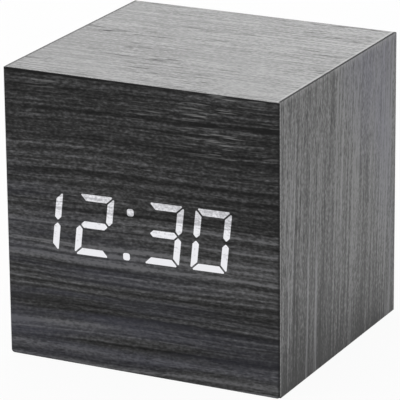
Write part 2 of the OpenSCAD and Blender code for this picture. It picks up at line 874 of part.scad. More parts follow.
module battery_door() {
    slit_z0 = door_z1 - latch_l;
    color([0.08, 0.08, 0.08]) difference() {
        union() {
            along_x(-door_w / 2, door_w / 2) {
                translate([door_y0, hinge_z]) square([door_t, door_z1 - hinge_z]);
                translate([hinge_y, hinge_z]) circle(d = door_t);
            }
            for (s = [-1, 1])
                span(
                    [s * tongue_x - tongue_w / 2, tongue_y0, door_z0 - tongue_reach],
                    [s * tongue_x + tongue_w / 2, tongue_y1, door_z0 + 3]
                );
            for (s = [-1, 1])
                span(
                    [s * tongue_x - tongue_w / 2, tongue_y1 - 0.1, hinge_z],
                    [s * tongue_x + tongue_w / 2, door_y0 + 0.1, door_z0 + 3]
                );
            for (k = [0:2])
                span(
                    [-latch_w / 2 + 1.5, cover_y1 - 0.1, door_z1 - 2.2 - 1.6 * k],
                    [latch_w / 2 - 1.5, cover_y1 + 0.35, door_z1 - 1.5 - 1.6 * k]
                );
        }
        for (s = [-1, 1])
            span(
                [s * latch_w / 2 - latch_slit / 2, door_y0 - 1, slit_z0],
                [s * latch_w / 2 + latch_slit / 2, cover_y1 + 1, door_z1 + 1]
            );
    }
}

module set_button() {
    color([0.16, 0.16, 0.16]) key(set_x);
}

module down_button() {
    color([0.16, 0.16, 0.16]) key(down_x);
}

module up_button() {
    color([0.16, 0.16, 0.16]) key(up_x);
}

module set_plunger() {
    color([0.75, 0.74, 0.7]) plunger(set_x);
}

module down_plunger() {
    color([0.75, 0.74, 0.7]) plunger(down_x);
}

module up_plunger() {
    color([0.75, 0.74, 0.7]) plunger(up_x);
}

module switch_bodies() {
    color([0.14, 0.14, 0.14])
        for (x = [set_x, down_x, up_x]) difference() {
            span(
                [x - switch_w / 2, switch_y0, row_z - switch_w / 2],
                [x + switch_w / 2, switch_y1, row_z + switch_w / 2]
            );
            bar_y(
                plunger_d + 2 * fit_gap, x, row_z, switch_y1 - plunger_deep - key_travel - 0.3,
                switch_y1 + 1
            );
        }
}

module control_board() {
    color([0.05, 0.3, 0.16]) difference() {
        span(
            [-control_w / 2, control_y0, row_z - control_h / 2],
            [control_w / 2, control_y1, row_z + control_h / 2]
        );
        for (x = [inner_boss_x, outer_boss_x])
            bar_y(control_hole_d, x, row_z, control_y0 - 1, control_y1 + 1);
    }
}

module control_screws() {
    color([0.7, 0.7, 0.72])
        for (x = [inner_boss_x, outer_boss_x])
            screw(
                x, row_z, control_y0, -1, control_head_d, control_head_t,
                control_shank_d, control_t + control_bite
            );
}

module jack_body() {
    color([0.09, 0.09, 0.09]) difference() {
        union() {
            span(
                [jack_x - jack_w / 2, control_y1, row_z - jack_h / 2],
                [jack_x + jack_w / 2, cover_y0 - 0.1, row_z + jack_h / 2]
            );
            bar_y(jack_nose_d, jack_x, row_z, cover_y0 - 0.2, cover_y1 - 0.3);
        }
        bar_y(jack_bore, jack_x, row_z, control_y1 + 0.8, cover_y1 + 1);
    }
}

module jack_pin() {
    color([0.8, 0.78, 0.7]) {
        bar_y(jack_pin_d, jack_x, row_z, control_y1 + 0.8, cover_y1 - 1.3);
        translate([jack_x, cover_y1 - 1.3, row_z]) sphere(d = jack_pin_d);
    }
}

module positive_contact() {
    color([0.78, 0.77, 0.74]) {
        contact_plate(-1, 2, 2);
        contact_tab(-1, 2, 0);
    }
}

module negative_contact() {
    color([0.78, 0.77, 0.74]) {
        contact_plate(1, 0, 0);
        contact_tab(1, 0, 0);
    }
}

module left_link_contact() {
    color([0.78, 0.77, 0.74]) contact_plate(-1, 0, 1);
}

module right_link_contact() {
    color([0.78, 0.77, 0.74]) contact_plate(1, 1, 2);
}

module battery_springs() {
    color([0.8, 0.8, 0.8]) for (k = [0:2]) contact_spring(k);
}

module bottom_cell() {
    color([0.55, 0.56, 0.58]) cell(0);
}

module middle_cell() {
    color([0.55, 0.56, 0.58]) cell(1);
}

module top_cell() {
    color([0.55, 0.56, 0.58]) cell(2);
}

module positive_lead() {
    color([0.7, 0.08, 0.06]) contact_lead(-1, 2);
}

module negative_lead() {
    color([0.06, 0.06, 0.06]) contact_lead(1, 0);
}

top_panel();
bottom_panel();
left_panel();
right_panel();
top_veneer();
bottom_veneer();
left_veneer();
right_veneer();
front_board();
front_veneer();
lit_segments();
corner_blocks();
diffuser_sheet();
display_reflector();
segment_leds();
display_board();
display_spacers();
display_screws();
clock_chip();
crystal();
buzzer();
smoothing_capacitor();
board_resistors();
display_socket();
control_socket();
ribbon_cable();
back_cover();
cover_screws();
battery_door();
set_button();
down_button();
up_button();
set_plunger();
down_plunger();
up_plunger();
switch_bodies();
control_board();
control_screws();
jack_body();
jack_pin();
positive_contact();
negative_contact();
left_link_contact();
right_link_contact();
battery_springs();
bottom_cell();
middle_cell();
top_cell();
positive_lead();
negative_lead();
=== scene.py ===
import math
from functools import partial

import bmesh
import bpy
from mathutils import Matrix, Vector


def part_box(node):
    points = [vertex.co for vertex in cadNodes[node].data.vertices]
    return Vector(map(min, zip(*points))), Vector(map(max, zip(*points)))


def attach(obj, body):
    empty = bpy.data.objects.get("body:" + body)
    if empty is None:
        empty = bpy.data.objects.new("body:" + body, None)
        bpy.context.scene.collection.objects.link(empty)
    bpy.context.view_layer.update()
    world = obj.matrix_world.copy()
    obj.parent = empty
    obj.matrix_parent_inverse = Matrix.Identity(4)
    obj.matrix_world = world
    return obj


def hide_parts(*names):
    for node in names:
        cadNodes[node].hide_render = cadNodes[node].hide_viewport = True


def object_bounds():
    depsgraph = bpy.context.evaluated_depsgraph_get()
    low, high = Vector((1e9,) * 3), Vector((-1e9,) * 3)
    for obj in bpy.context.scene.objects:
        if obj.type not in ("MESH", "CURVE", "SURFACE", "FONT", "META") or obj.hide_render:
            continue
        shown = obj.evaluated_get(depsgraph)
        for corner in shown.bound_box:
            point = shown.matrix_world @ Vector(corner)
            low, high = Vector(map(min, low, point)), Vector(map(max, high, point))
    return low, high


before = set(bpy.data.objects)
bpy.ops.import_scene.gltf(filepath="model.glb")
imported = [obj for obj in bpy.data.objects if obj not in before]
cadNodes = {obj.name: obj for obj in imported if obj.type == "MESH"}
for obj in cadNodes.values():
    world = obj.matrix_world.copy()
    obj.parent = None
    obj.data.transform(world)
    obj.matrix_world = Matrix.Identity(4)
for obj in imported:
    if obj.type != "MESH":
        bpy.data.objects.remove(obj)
cadBox = [list(corner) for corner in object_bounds()]
scene = bpy.context.scene
scene.view_settings.view_transform = "Standard"
mm = 0.001
metre = 1000  # mm
touch = 0.001 * mm  # points nearer than this count as one place
noiseLow, noiseMiddle, noiseHigh = 0.3, 0.5, 0.7  # most of a noise lies between the first and the last
caseTop = cadBox[1][2] / mm
print("frame loaded,", len(cadNodes), "nodes")


def hexColor(code):
    channels = [int(code[i:i + 2], 16) / 255 for i in (1, 3, 5)]
    linear = [c / 12.92 if c <= 0.04045 else ((c + 0.055) / 1.055) ** 2.4 for c in channels]
    return (*linear, 1.0)


def connect(node, inputs):
    # sockets by name or number: Map Range 1 and 2 come in, 3 and 4 go out; Mix 6 and 7 are its colours
    for key, value in inputs.items():
        # a list of nodes or sockets goes to one input that takes several links
        values = value if isinstance(value, list) and value and hasattr(value[0], "bl_rna") else [value]
        for single in values:
            if isinstance(single, bpy.types.Node):
                single = single.outputs[0]
            if isinstance(single, bpy.types.NodeSocket):
                node.id_data.links.new(single, node.inputs[key])
            else:
                node.inputs[key].default_value = single


def addNode(tree, kind, inputs=None, stops=None, **settings):
    node = tree.nodes.new(kind)
    for name, value in settings.items():
        setattr(node, name, value)
    connect(node, inputs or {})
    for count, (position, color) in enumerate(stops or []):  # stops of a colour ramp
        elements = node.color_ramp.elements
        element = elements[count] if count < 2 else elements.new(position)
        element.position = position
        element.color = color
    return node


def newMaterial(name, **shaderInputs):
    material = bpy.data.materials.new(name)
    material.use_nodes = True
    material.node_tree.nodes.clear()
    add = partial(addNode, material.node_tree)
    inputs = {key.replace("_", " "): value for key, value in shaderInputs.items()}
    shader = add("ShaderNodeBsdfPrincipled", inputs)
    add("ShaderNodeOutputMaterial", {"Surface": shader})
    place = add("ShaderNodeTexCoord").outputs["Object"]
    return material, add, shader, place


def wear(finish, *nodes):
    for node in nodes:
        cadNodes[node].material_slots[0].material = finish


def addPiece(name, mesh, body, replaced=(), smoothAngle=25, flats=False):
    piece = bpy.data.objects.new(name, mesh)
    scene.collection.objects.link(piece)
    mesh.polygons.foreach_set("use_smooth", [True] * len(mesh.polygons))
    mesh.set_sharp_from_angle(angle=math.radians(smoothAngle))
    if flats:  # large faces stay flat beside their rounded edges
        weigh = piece.modifiers.new("weigh", "WEIGHTED_NORMAL")
        weigh.keep_sharp = True
    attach(piece, body)
    if replaced:
        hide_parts(*replaced)
    return piece


# mm between doubles; degrees up to which faces count as flat, and past which an edge is rounded
copySet = {"weld": 0.002, "flat": 0.4, "crease": 30}


def weldedCopy(node):
    # CAD meshes are loose triangles: weld them, then join the ones that lie flat
    build = bmesh.new()
    build.from_mesh(cadNodes[node].data)
    bmesh.ops.remove_doubles(build, verts=build.verts, dist=copySet["weld"] * mm)
    flat = math.radians(copySet["flat"])
    bmesh.ops.dissolve_limit(build, angle_limit=flat, verts=build.verts, edges=build.edges)
    return build


def easeEdges(build, width, segments, chosen):
    crease = math.radians(copySet["crease"])
    edges = [e for e in build.edges if len(e.link_faces) == 2 and e.calc_face_angle() > crease and chosen(e)]
    bmesh.ops.bevel(build, geom=edges, offset=width, segments=segments, profile=0.5, affect="EDGES",
                    clamp_overlap=False)


def toMesh(build, name, materials):
    mesh = bpy.data.meshes.new(name)
    build.to_mesh(mesh)
    build.free()
    for material in materials:
        mesh.materials.append(material)
    return mesh


def partBoxes(node):
    # the box of each separate solid of a CAD node
    build = weldedCopy(node)
    left = set(build.verts)
    boxes = []
    while left:
        reach = [left.pop()]
        part = list(reach)
        while reach:
            for edge in reach.pop().link_edges:
                for vert in edge.verts:
                    if vert in left:
                        left.remove(vert)
                        reach.append(vert)
                        part.append(vert)
        lows = [min(v.co[i] for v in part) for i in range(3)]
        highs = [max(v.co[i] for v in part) for i in range(3)]
        boxes.append((Vector(lows), Vector(highs)))
    build.free()
    return sorted(boxes, key=lambda pair: (round(pair[0].z, 5), round(pair[0].x, 5)))


def turn(build, profile, start, axis, steps=48):
    # turns a profile about an axis: mm along it, radius in mm, material number of the strip that follows
    axis = Vector(axis)
    side = axis.orthogonal().normalized()
    other = axis.cross(side)
    rings = []
    for along, radius, _ in profile:
        middle = Vector(start) + axis * along * mm
        turns = [2 * math.pi * k / steps for k in range(steps)] if radius else [0]
        spokes = [side * math.cos(a) + other * math.sin(a) for a in turns]
        rings.append([build.verts.new(middle + spoke * radius * mm) for spoke in spokes])
    for near, far, (_, _, finish) in zip(rings, rings[1:], profile):
        for k in range(steps):
            after = k + 1
            corners = [near[k % len(near)], near[after % len(near)], far[after % len(far)], far[k % len(far)]]
            face = build.faces.new(list(dict.fromkeys(corners)))
            face.material_index = finish
    bmesh.ops.remove_doubles(build, verts=build.verts, dist=touch)
    bmesh.ops.recalc_face_normals(build, faces=build.faces)


def geometryTree(name, inputs):
    tree = bpy.data.node_groups.new(name, "GeometryNodeTree")
    tree.interface.new_socket("Geometry", in_out="OUTPUT", socket_type="NodeSocketGeometry")
    tree.interface.new_socket("Geometry", in_out="INPUT", socket_type="NodeSocketGeometry")
    for label, kind in inputs.items():
        tree.interface.new_socket(label, in_out="INPUT", socket_type="NodeSocket" + kind)
    add = partial(addNode, tree)
    return tree, add, add("NodeGroupInput").outputs


def closeTree(add, given, instances):
    real = add("GeometryNodeRealizeInstances", {"Geometry": instances})
    finished = add("GeometryNodeSetMaterial", {"Geometry": real, "Material": given["Material"]})
    add("NodeGroupOutput", {0: finished})


def growMesh(name, tree, points, values):
    # runs a geometry tree on loose points and keeps the plain mesh
    mesh = bpy.data.meshes.new(name)
    mesh.from_pydata([tuple(point) for point in points], [], [])
    carrier = bpy.data.objects.new(name, mesh)
    scene.collection.objects.link(carrier)
    grow = carrier.modifiers.new("grow", "NODES")
    grow.node_group = tree
    for socket in tree.interface.items_tree:
        if socket.in_out == "INPUT" and socket.name in values:
            grow[socket.identifier] = values[socket.name]
    grown = bpy.data.meshes.new_from_object(carrier.evaluated_get(bpy.context.evaluated_depsgraph_get()))
    carrier.modifiers.remove(grow)
    bpy.data.objects.remove(carrier)
    return grown


# camera at the photographed angle

cameraSet = {
    "place": (0.3070176, -0.6083616, 0.2572878),
    "right": (0.89343002, 0.44911046, -0.00908797),
    "up": (-0.13407288, 0.28591556, 0.94882915),
    "lens": 294.456, "sensor": 36.0, "nearest": 0.01,
}


def addCamera(look):
    data = bpy.data.cameras.new("camera")
    data.sensor_fit = "HORIZONTAL"
    data.sensor_width = look["sensor"]
    data.lens = look["lens"]
    data.clip_start = look["nearest"]
    camera = bpy.data.objects.new("camera", data)
    right, up = Vector(look["right"]), Vector(look["up"])
    facing = Matrix((right, up, right.cross(up))).transposed().to_4x4()
    camera.matrix_world = Matrix.Translation(look["place"]) @ facing
    scene.collection.objects.link(camera)
    scene.camera = camera


addCamera(cameraSet)

lampSet = {
    # name: place, aim, width and height, brightness of its face (1 is white)
    "overhead": ((-0.10, -0.05, 0.80), (0, 0, 0.03), (0.9, 0.9), 1.1),
    "backLeft": ((-0.30, 0.58, 0.28), (0, 0, 0.05), (0.55, 0.5), 1.45),
}
worldSet = {"ambient": 0.5}
# metres; mm below the clock; the paper, how white the camera sees it, and how white mirrors do
floorSet = {"size": 3.0, "gap": 0.02, "color": "#f2f2f2", "glow": 0.93, "mirrored": 0.25}


def addLamps(lamps):
    for name, (place, aim, (wide, high), brightness) in lamps.items():
        data = bpy.data.lights.new(name, "AREA")
        data.shape = "RECTANGLE"
        data.size, data.size_y = wide, high
        data.energy = brightness * math.pi * wide * high  # watts that make its face this bright
        lamp = bpy.data.objects.new(name, data)
        lamp.location = place
        lamp.rotation_euler = (Vector(aim) - Vector(place)).to_track_quat("-Z", "Y").to_euler()
        lamp.visible_camera = False
        scene.collection.objects.link(lamp)


def backgroundRays(add, mirrored=1.0):
    # camera, mirror and see-through rays meet plain white; mirrored is how much of it mirrors get
    rays = add("ShaderNodeLightPath").outputs
    mirrors = add("ShaderNodeMath", {0: rays["Is Glossy Ray"], 1: mirrored}, operation="MULTIPLY")
    seen = add("ShaderNodeMath", {0: rays["Is Camera Ray"], 1: mirrors}, operation="MAXIMUM")
    return add("ShaderNodeMath", {0: seen, 1: rays["Is Transmission Ray"]}, operation="MAXIMUM")


def addWorld(look):
    world = bpy.data.worlds.new("studio")
    scene.world = world
    world.use_nodes = True
    world.node_tree.nodes.clear()
    add = partial(addNode, world.node_tree)
    strength = add("ShaderNodeMapRange", {0: backgroundRays(add), 3: look["ambient"], 4: 1.0})
    air = add("ShaderNodeBackground", {"Color": (1, 1, 1, 1), "Strength": strength})
    add("ShaderNodeOutputWorld", {"Surface": air})


def addFloor(look):
    half = look["size"] / 2
    mesh = bpy.data.meshes.new("floor")
    corners = [(x * half, y * half, -look["gap"] * mm) for x, y in ((-1, -1), (1, -1), (1, 1), (-1, 1))]
    mesh.from_pydata(corners, [], [(0, 1, 2, 3)])
    floor = bpy.data.objects.new("floor", mesh)
    scene.collection.objects.link(floor)
    material = bpy.data.materials.new("seamless paper sweep")  # matt white paper: even, with a soft shadow
    material.use_nodes = True
    material.node_tree.nodes.clear()
    add = partial(addNode, material.node_tree)
    paper = add("ShaderNodeBsdfDiffuse", {"Color": hexColor(look["color"])})
    glow = add("ShaderNodeEmission", {"Color": (1, 1, 1, 1), "Strength": 1.0})
    seen = backgroundRays(add, look["mirrored"] / look["glow"])
    share = add("ShaderNodeMath", {0: seen, 1: look["glow"]}, operation="MULTIPLY")
    lit = add("ShaderNodeMixShader", {0: share, 1: paper, 2: glow})
    below = add("ShaderNodeNewGeometry").outputs["Backfacing"]
    clear = add("ShaderNodeBsdfTransparent")  # from below, the floor lets the underside show
    surface = add("ShaderNodeMixShader", {0: below, 1: lit, 2: clear})
    add("ShaderNodeOutputMaterial", {"Surface": surface})
    mesh.materials.append(material)


addLamps(lampSet)
addWorld(worldSet)
addFloor(floorSet)
print("camera, lamps and floor set")


# wood-grain veneer of the case, one look for each direction of its grain; the shades are painted paler on the
# top and darker on the front, for the light each face gets

filmLooks = {
    "front": {
        "along": "x", "across": "z", "seed": (3.1, 1.7, 5.2), "sway": 2.6, "lean": -0.028,
        # tone by height, mm: dark towards the top, a pale belt below the middle; the paler lower half is
        # partly the veneer's own tone, partly a painted reflection of the bright floor
        "profile": [(0, 0.82), (2, 0.84), (6, 0.6), (9, 0.68), (12, 0.56), (17, 0.54), (19, 0.42),
                    (22, 0.62), (24, 0.8), (29, 0.64), (38, 0.61), (41, 0.3), (45, 0.5), (54, 0.36),
                    (57, 0.42), (60, 0.2), (65, 0.36)],
        # painted light: the slope makes the front paler towards the left, where the light comes from
        "slope": (-0.0014, 0, 0),  # tone per mm
        # layers of tone: length and width in mm, fineness, gain
        "tones": {"bands": (180, 3.5, 2, 0.9), "streaks": (140, 1.0, 2, 1.7), "fibres": (5, 0.55, 2, 0.75),
                  "specks": (0.9, 0.45, 1, 1.0)},
        "calm": (18, 45, 0.7),  # mm of height between which fibres and specks fade, and what is left below
        # marks: length and width, the same of the fields they stand in, noise where they start and are full;
        # grow is the way they get stronger, mm where that starts and ends, and their share before it
        "marks": {
            "haze": {"size": (50, 4), "noise": (0.4, 0.6), "strength": 0.45, "shade": "#464757",
                     "grow": ((-0.45, 0, -1), -34, -8, 0)},
            "lines": {"size": (80, 1.3), "field": (70, 8), "noise": (0.53, 0.62), "strength": 0.7,
                      "shade": "#131315", "grow": ((0, 0, -1), -34, -24, 0.3)},
            "pores": {"size": (2.4, 0.3), "field": (26, 5), "noise": (0.55, 0.65), "strength": 0.5,
                      "shade": "#121212"},
            "flecks": {"size": (7, 0.32), "field": (20, 12), "noise": (0.59, 0.67), "strength": 0.65,
                       "shade": "#9a9a9a", "grow": ((0.25, 0, 1), 53, 60, 0)},
        },
        # painted shade: the front's shades are the darkest of the three, for the little light it gets
        "colors": ["#050505", "#1b1b1b", "#363636", "#555556", "#767678"],
        # dark joint under the top edge, mm; it thins out to x = gone
        "seam": {"deep": 0.8, "gone": 26, "ragged": 0.4, "soft": 0.2, "shade": "#030303"},
        # painted shade: a dark line down the front's right border, where its eased edge falls in shade
        "rim": {"axis": "X", "from": 31.9, "strength": 0.6, "shade": "#0d0d0d"},
        "gloss": 0.2, "roughness": 0.45, "relief": 0.3,
    },
    "top": {
        "along": "x", "across": "y", "seed": (8.4, 2.2, 0.6), "sway": 0.4, "lean": -0.012,
        "profile": [(0, 0.48), (65, 0.48)], "slope": (0.0045, 0, 0),
        "tones": {"bands": (140, 5, 2, 0.65), "streaks": (100, 0.75, 2, 1.5), "fibres": (12, 0.42, 2, 1.75),
                  "specks": (0.9, 0.42, 1, 2.2)},
        "marks": {
            "lines": {"size": (36, 0.5), "field": (50, 5), "noise": (0.59, 0.66), "strength": 0.7,
                      "shade": "#1a1a1a"},
            "pores": {"size": (6, 0.5), "field": (30, 5), "noise": (0.6, 0.67), "strength": 0.85,
                      "shade": "#141414"},
            "flecks": {"size": (9, 0.5), "field": (30, 6), "noise": (0.57, 0.67), "strength": 0.6,
                       "shade": "#9a9a9a", "grow": ((0, -1, 0), 16, 26, 0.4)},
        },
        # painted light: the top's shades are paler than the front's and the sides', for the light falling on
        # it
        "colors": ["#363636", "#4c4c4c", "#626262", "#767676", "#8a8a8a"],
        # painted highlight: a pale line along the top's right edge, where its rounded edge catches the light
        "rim": {"axis": "X", "from": 31.2, "strength": 0.5, "shade": "#b4b4b4"},
        "gloss": 0.42, "roughness": 0.4, "relief": 0.3,
    },
    "side": {
        "along": "z", "across": "y", "seed": (1.3, 6.8, 4.4), "sway": 1.4, "lean": -0.05,
        # painted shade and reflection: the tone by height darkens hard towards the foot, where the side
        # mirrors the shaded floor, and the slope makes it paler towards the rear
        "profile": [(0, 0.0), (3, 0.16), (6, 0.3), (12, 0.48), (22, 0.66), (45, 0.8), (65, 0.76)],
        "slope": (0, 0.006, 0),
        "tones": {"bands": (110, 6, 2, 0.75), "streaks": (70, 0.9, 2, 2.1), "fibres": (9, 0.5, 2, 1.2),
                  "specks": (0.9, 0.45, 1, 1.85)},
        "marks": {
            "haze": {"size": (60, 8), "noise": (0.36, 0.56), "strength": 0.4, "shade": "#747488",
                     "grow": ((0, 1, 0.6), 32, 50, 0)},
            "lines": {"size": (60, 0.7), "field": (60, 4), "noise": (0.57, 0.65), "strength": 0.6,
                      "shade": "#a4a4a6", "grow": ((0, 0, -1), -58, -25, 0.35)},
            "gaps": {"size": (30, 0.6), "field": (70, 6), "noise": (0.56, 0.67), "strength": 0.5,
                     "shade": "#262626"},
            "pores": {"size": (4.5, 0.55), "noise": (0.57, 0.65), "strength": 0.6, "shade": "#1a1a1a",
                      "grow": ((0, -1, 0.8), 0, 60, 0.2)},
        },
        "colors": ["#282828", "#404040", "#595959", "#717171", "#888888"],
        # torn pale fibres along the top edge, mm
        "fringe": {"deep": 1.3, "strength": 0.7, "shade": "#aaaaaa"},
        "rim": {"axis": "Y", "from": 29.6, "strength": 0.5, "shade": "#1c1c1c"},
        "gloss": 0.5, "roughness": 0.4, "relief": 0.3,
    },
}
grainSet = {
    "through": 9, "apart": 7.3,  # mm of the noise through the sheet; steps between the layers
    "drift": (45, 14),  # mm, length and width of the grain's slow sway
    "field": (0.42, 0.6),  # noise where fields of marks start and are full
    "rimSoft": 0.3, "deep": 0.06,  # mm over which a rim comes in; mm of the relief
    "poreRoughness": 0.8, "noiseRoughness": 0.55, "ior": 1.5,
}


def grainNoise(add, look, bend, number, size, detail):
    # noise drawn out along the grain; size is its length and width in mm
    sizes = {look["along"]: size[0], look["across"]: size[1]}
    scale = [metre / sizes.get(axis, grainSet["through"]) for axis in "xyz"]
    shift = [seed + grainSet["apart"] * number for seed in look["seed"]]
    mapped = add("ShaderNodeMapping", {"Vector": bend, "Scale": scale, "Location": shift})
    noise = {"Vector": mapped, "Scale": 1.0, "Detail": detail, "Roughness": grainSet["noiseRoughness"]}
    return add("ShaderNodeTexNoise", noise).outputs["Fac"]


def grainTones(add, place, look):
    # layers of drawn-out noise on a tone by height: the sum in "tone", each layer by its name
    long, wide = grainSet["drift"]
    drift = [metre / (long if axis == look["along"] else wide) for axis in "xyz"]
    drift = add("ShaderNodeMapping", {"Vector": place, "Scale": drift, "Location": look["seed"]})
    drift = add("ShaderNodeTexNoise", {"Vector": drift, "Scale": 1.0, "Detail": 1.0})
    bend = add("ShaderNodeVectorMath", {0: drift.outputs["Color"], 1: [noiseMiddle] * 3},
               operation="SUBTRACT")
    across = [float(axis == look["across"]) for axis in "xyz"]
    sway = [look["sway"] * mm * a for a in across]
    bend = add("ShaderNodeVectorMath", {0: bend, 1: sway, 2: place}, operation="MULTIPLY_ADD")
    run = add("ShaderNodeSeparateXYZ", {0: place}).outputs[look["along"].upper()]
    lean = [look["lean"] * a for a in across]
    lean = add("ShaderNodeVectorMath", {0: lean, "Scale": run}, operation="SCALE")
    bend = add("ShaderNodeVectorMath", {0: bend, 1: lean}, operation="ADD")
    level = add("ShaderNodeSeparateXYZ", {0: bend}).outputs["Z"]
    tall = look["profile"][-1][0]
    height = add("ShaderNodeMapRange", {0: level, 2: tall * mm})
    belts = [(at / tall, (tone, tone, tone, 1.0)) for at, tone in look["profile"]]
    tone = add("ShaderNodeValToRGB", {"Fac": height}, stops=belts)
    slope = [metre * rise for rise in look["slope"]]
    rise = add("ShaderNodeVectorMath", {0: place, 1: slope}, operation="DOT_PRODUCT")
    tone = add("ShaderNodeMath", {0: tone, 1: rise.outputs["Value"]}, operation="ADD")
    grain = {"bend": bend}
    for number, (layer, (long, wide, detail, gain)) in enumerate(look["tones"].items()):
        grain[layer] = grainNoise(add, look, bend, number, (long, wide), detail)
        lifted = add("ShaderNodeMath", {0: grain[layer], 1: noiseMiddle}, operation="SUBTRACT")
        if "calm" in look and layer in ("fibres", "specks"):
            start, end, least = look["calm"]
            gain = add("ShaderNodeMapRange",
                       {0: level, 1: start * mm, 2: end * mm, 3: gain * least, 4: gain})
        tone = add("ShaderNodeMath", {0: lifted, 1: gain, 2: tone}, operation="MULTIPLY_ADD")
    grain["tone"] = tone.outputs[0]
    return grain


def grainMark(add, place, grain, look, number, mark):
    # where one kind of mark lies, from 0 to its strength
    start, full = mark["noise"]
    noise = grainNoise(add, look, grain["bend"], number, mark["size"], 1)
    share = add("ShaderNodeMapRange", {0: noise, 1: start, 2: full, 4: mark["strength"]})
    if "field" in mark:
        start, full = grainSet["field"]
        noise = grainNoise(add, look, grain["bend"], number + 0.5, mark["field"], 1)
        field = add("ShaderNodeMapRange", {0: noise, 1: start, 2: full})
        share = add("ShaderNodeMath", {0: share, 1: field}, operation="MULTIPLY")
    if "grow" in mark:
        way, first, last, least = mark["grow"]
        way = [metre * part for part in way]
        along = add("ShaderNodeVectorMath", {0: place, 1: way}, operation="DOT_PRODUCT")
        grown = add("ShaderNodeMapRange", {0: along.outputs["Value"], 1: first, 2: last, 3: least})
        share = add("ShaderNodeMath", {0: share, 1: grown}, operation="MULTIPLY")
    return share.outputs[0]


def woodGrainVeneer(name, look):
    # dyed veneer under a satin film: an even sheen, broken by dull open pores
    material, add, shader, place = newMaterial(name, IOR=grainSet["ior"], Specular_IOR_Level=look["gloss"])
    grain = grainTones(add, place, look)
    axes = add("ShaderNodeSeparateXYZ", {0: place}).outputs
    stains = []  # where and in what shade, each over the ones before it
    for number, (kind, mark) in enumerate(look["marks"].items(), len(look["tones"])):
        grain[kind] = grainMark(add, place, grain, look, number, mark)
        stains.append((grain[kind], mark["shade"]))
    rim = look["rim"]  # line along one edge: a painted shade on the front, a painted highlight on the top, a darker rear edge on the side
    start, full = rim["from"] * mm, (rim["from"] + grainSet["rimSoft"]) * mm
    edge = add("ShaderNodeMapRange", {0: axes[rim["axis"]], 1: start, 2: full, 4: rim["strength"]})
    stains.append((edge, rim["shade"]))
    if "seam" in look:
        seam = look["seam"]
        slope = seam["deep"] / (seam["gone"] - cadBox[0][0] / mm)
        ragged = add("ShaderNodeMath", {0: grain["fibres"], 1: noiseMiddle}, operation="SUBTRACT")
        swing = 4 * seam["ragged"] * mm  # the noise itself goes about a quarter either way
        ragged = add("ShaderNodeMath", {0: ragged, 1: swing, 2: axes["Z"]}, operation="MULTIPLY_ADD")
        joint = add("ShaderNodeMath", {0: axes["X"], 1: -slope, 2: ragged}, operation="MULTIPLY_ADD")
        start = caseTop - slope * seam["gone"]
        joint = add("ShaderNodeMapRange", {0: joint, 1: start * mm, 2: (start + seam["soft"]) * mm})
        stains.append((joint, seam["shade"]))
    if "fringe" in look:
        fringe = look["fringe"]
        torn = add("ShaderNodeMapRange", {
            0: axes["Z"], 1: (caseTop - fringe["deep"]) * mm, 2: caseTop * mm, 4: fringe["strength"]})
        torn = add("ShaderNodeMath", {0: torn, 1: grain["specks"]}, operation="MULTIPLY")
        stains.append((torn, fringe["shade"]))
    shades = [hexColor(code) for code in look["colors"]]  # evenly spaced, from the darkest tone to the palest
    color = add("ShaderNodeValToRGB", {"Fac": grain["tone"]},
                stops=[(k / (len(shades) - 1), shade) for k, shade in enumerate(shades)]).outputs["Color"]
    for share, shade in stains:
        mixed = add("ShaderNodeMix", {0: share, 6: color, 7: hexColor(shade)}, data_type="RGBA")
        color = mixed.outputs[2]
    dull = add("ShaderNodeMapRange",
               {0: grain["pores"], 3: look["roughness"], 4: grainSet["poreRoughness"]})
    height = add("ShaderNodeMath", {0: grain["fibres"], 1: grain["streaks"]}, operation="ADD")
    height = add("ShaderNodeMath", {0: height, 1: grain["pores"]}, operation="SUBTRACT")
    relief = add("ShaderNodeBump", {
        "Strength": look["relief"], "Distance": grainSet["deep"] * mm, "Height": height})
    connect(shader, {"Base Color": color, "Roughness": dull, "Normal": relief})
    return material


films = {name: woodGrainVeneer("charcoal wood-grain veneer, " + name, look)
         for name, look in filmLooks.items()}

# cut edges of the sheets: pale is the veneer's own cut edge, made paler still as a painted highlight along
# the front's edges; the other two are the same edge in painted shade, near black on the top, bottom and right
# sheets and dark grey on the left
edgeSets = {
    "pale": {"name": "dyed veneer, sawn edge", "dark": "#707070", "light": "#a0a0a0", "gloss": 0.5},
    "shadeCut": {"name": "dyed veneer, cut edge in painted shade", "dark": "#323232", "light": "#4c4c4c", "gloss": 0.3},
    "deepShadeCut": {"name": "dyed veneer, cut edge in deep painted shade", "dark": "#0c0c0c", "light": "#222222",
                "gloss": 0.1},
}
# mm of the fibre ends, noise at the dark and the light colour, strength and mm of the relief
fibreEndSet = {"ply": 0.5, "noise": (0.35, 0.62), "relief": (0.4, 0.08), "roughness": 0.6}
sheetSet = {
    "ease": 0.12,  # mm, broken edges of the front
    "arc": 0.15, "rubbed": 0.75,  # mm, round of its corners as cut and, on the lower ones, as worn
    "margin": 1.2, "spare": 0.005,  # mm from the outline that count as edge; slack round the corner's arc
    "edgeOn": (0.3, 0.5),  # share of a normal through the sheet, below which a face is edge: front, others
    # sheet: look of its face, look of its cut edge, axis through it
    "sheets": {"top": ("top", "deepShadeCut", 2), "bottom": ("top", "deepShadeCut", 2), "left": ("side", "shadeCut", 0),
               "right": ("side", "deepShadeCut", 0)},
}


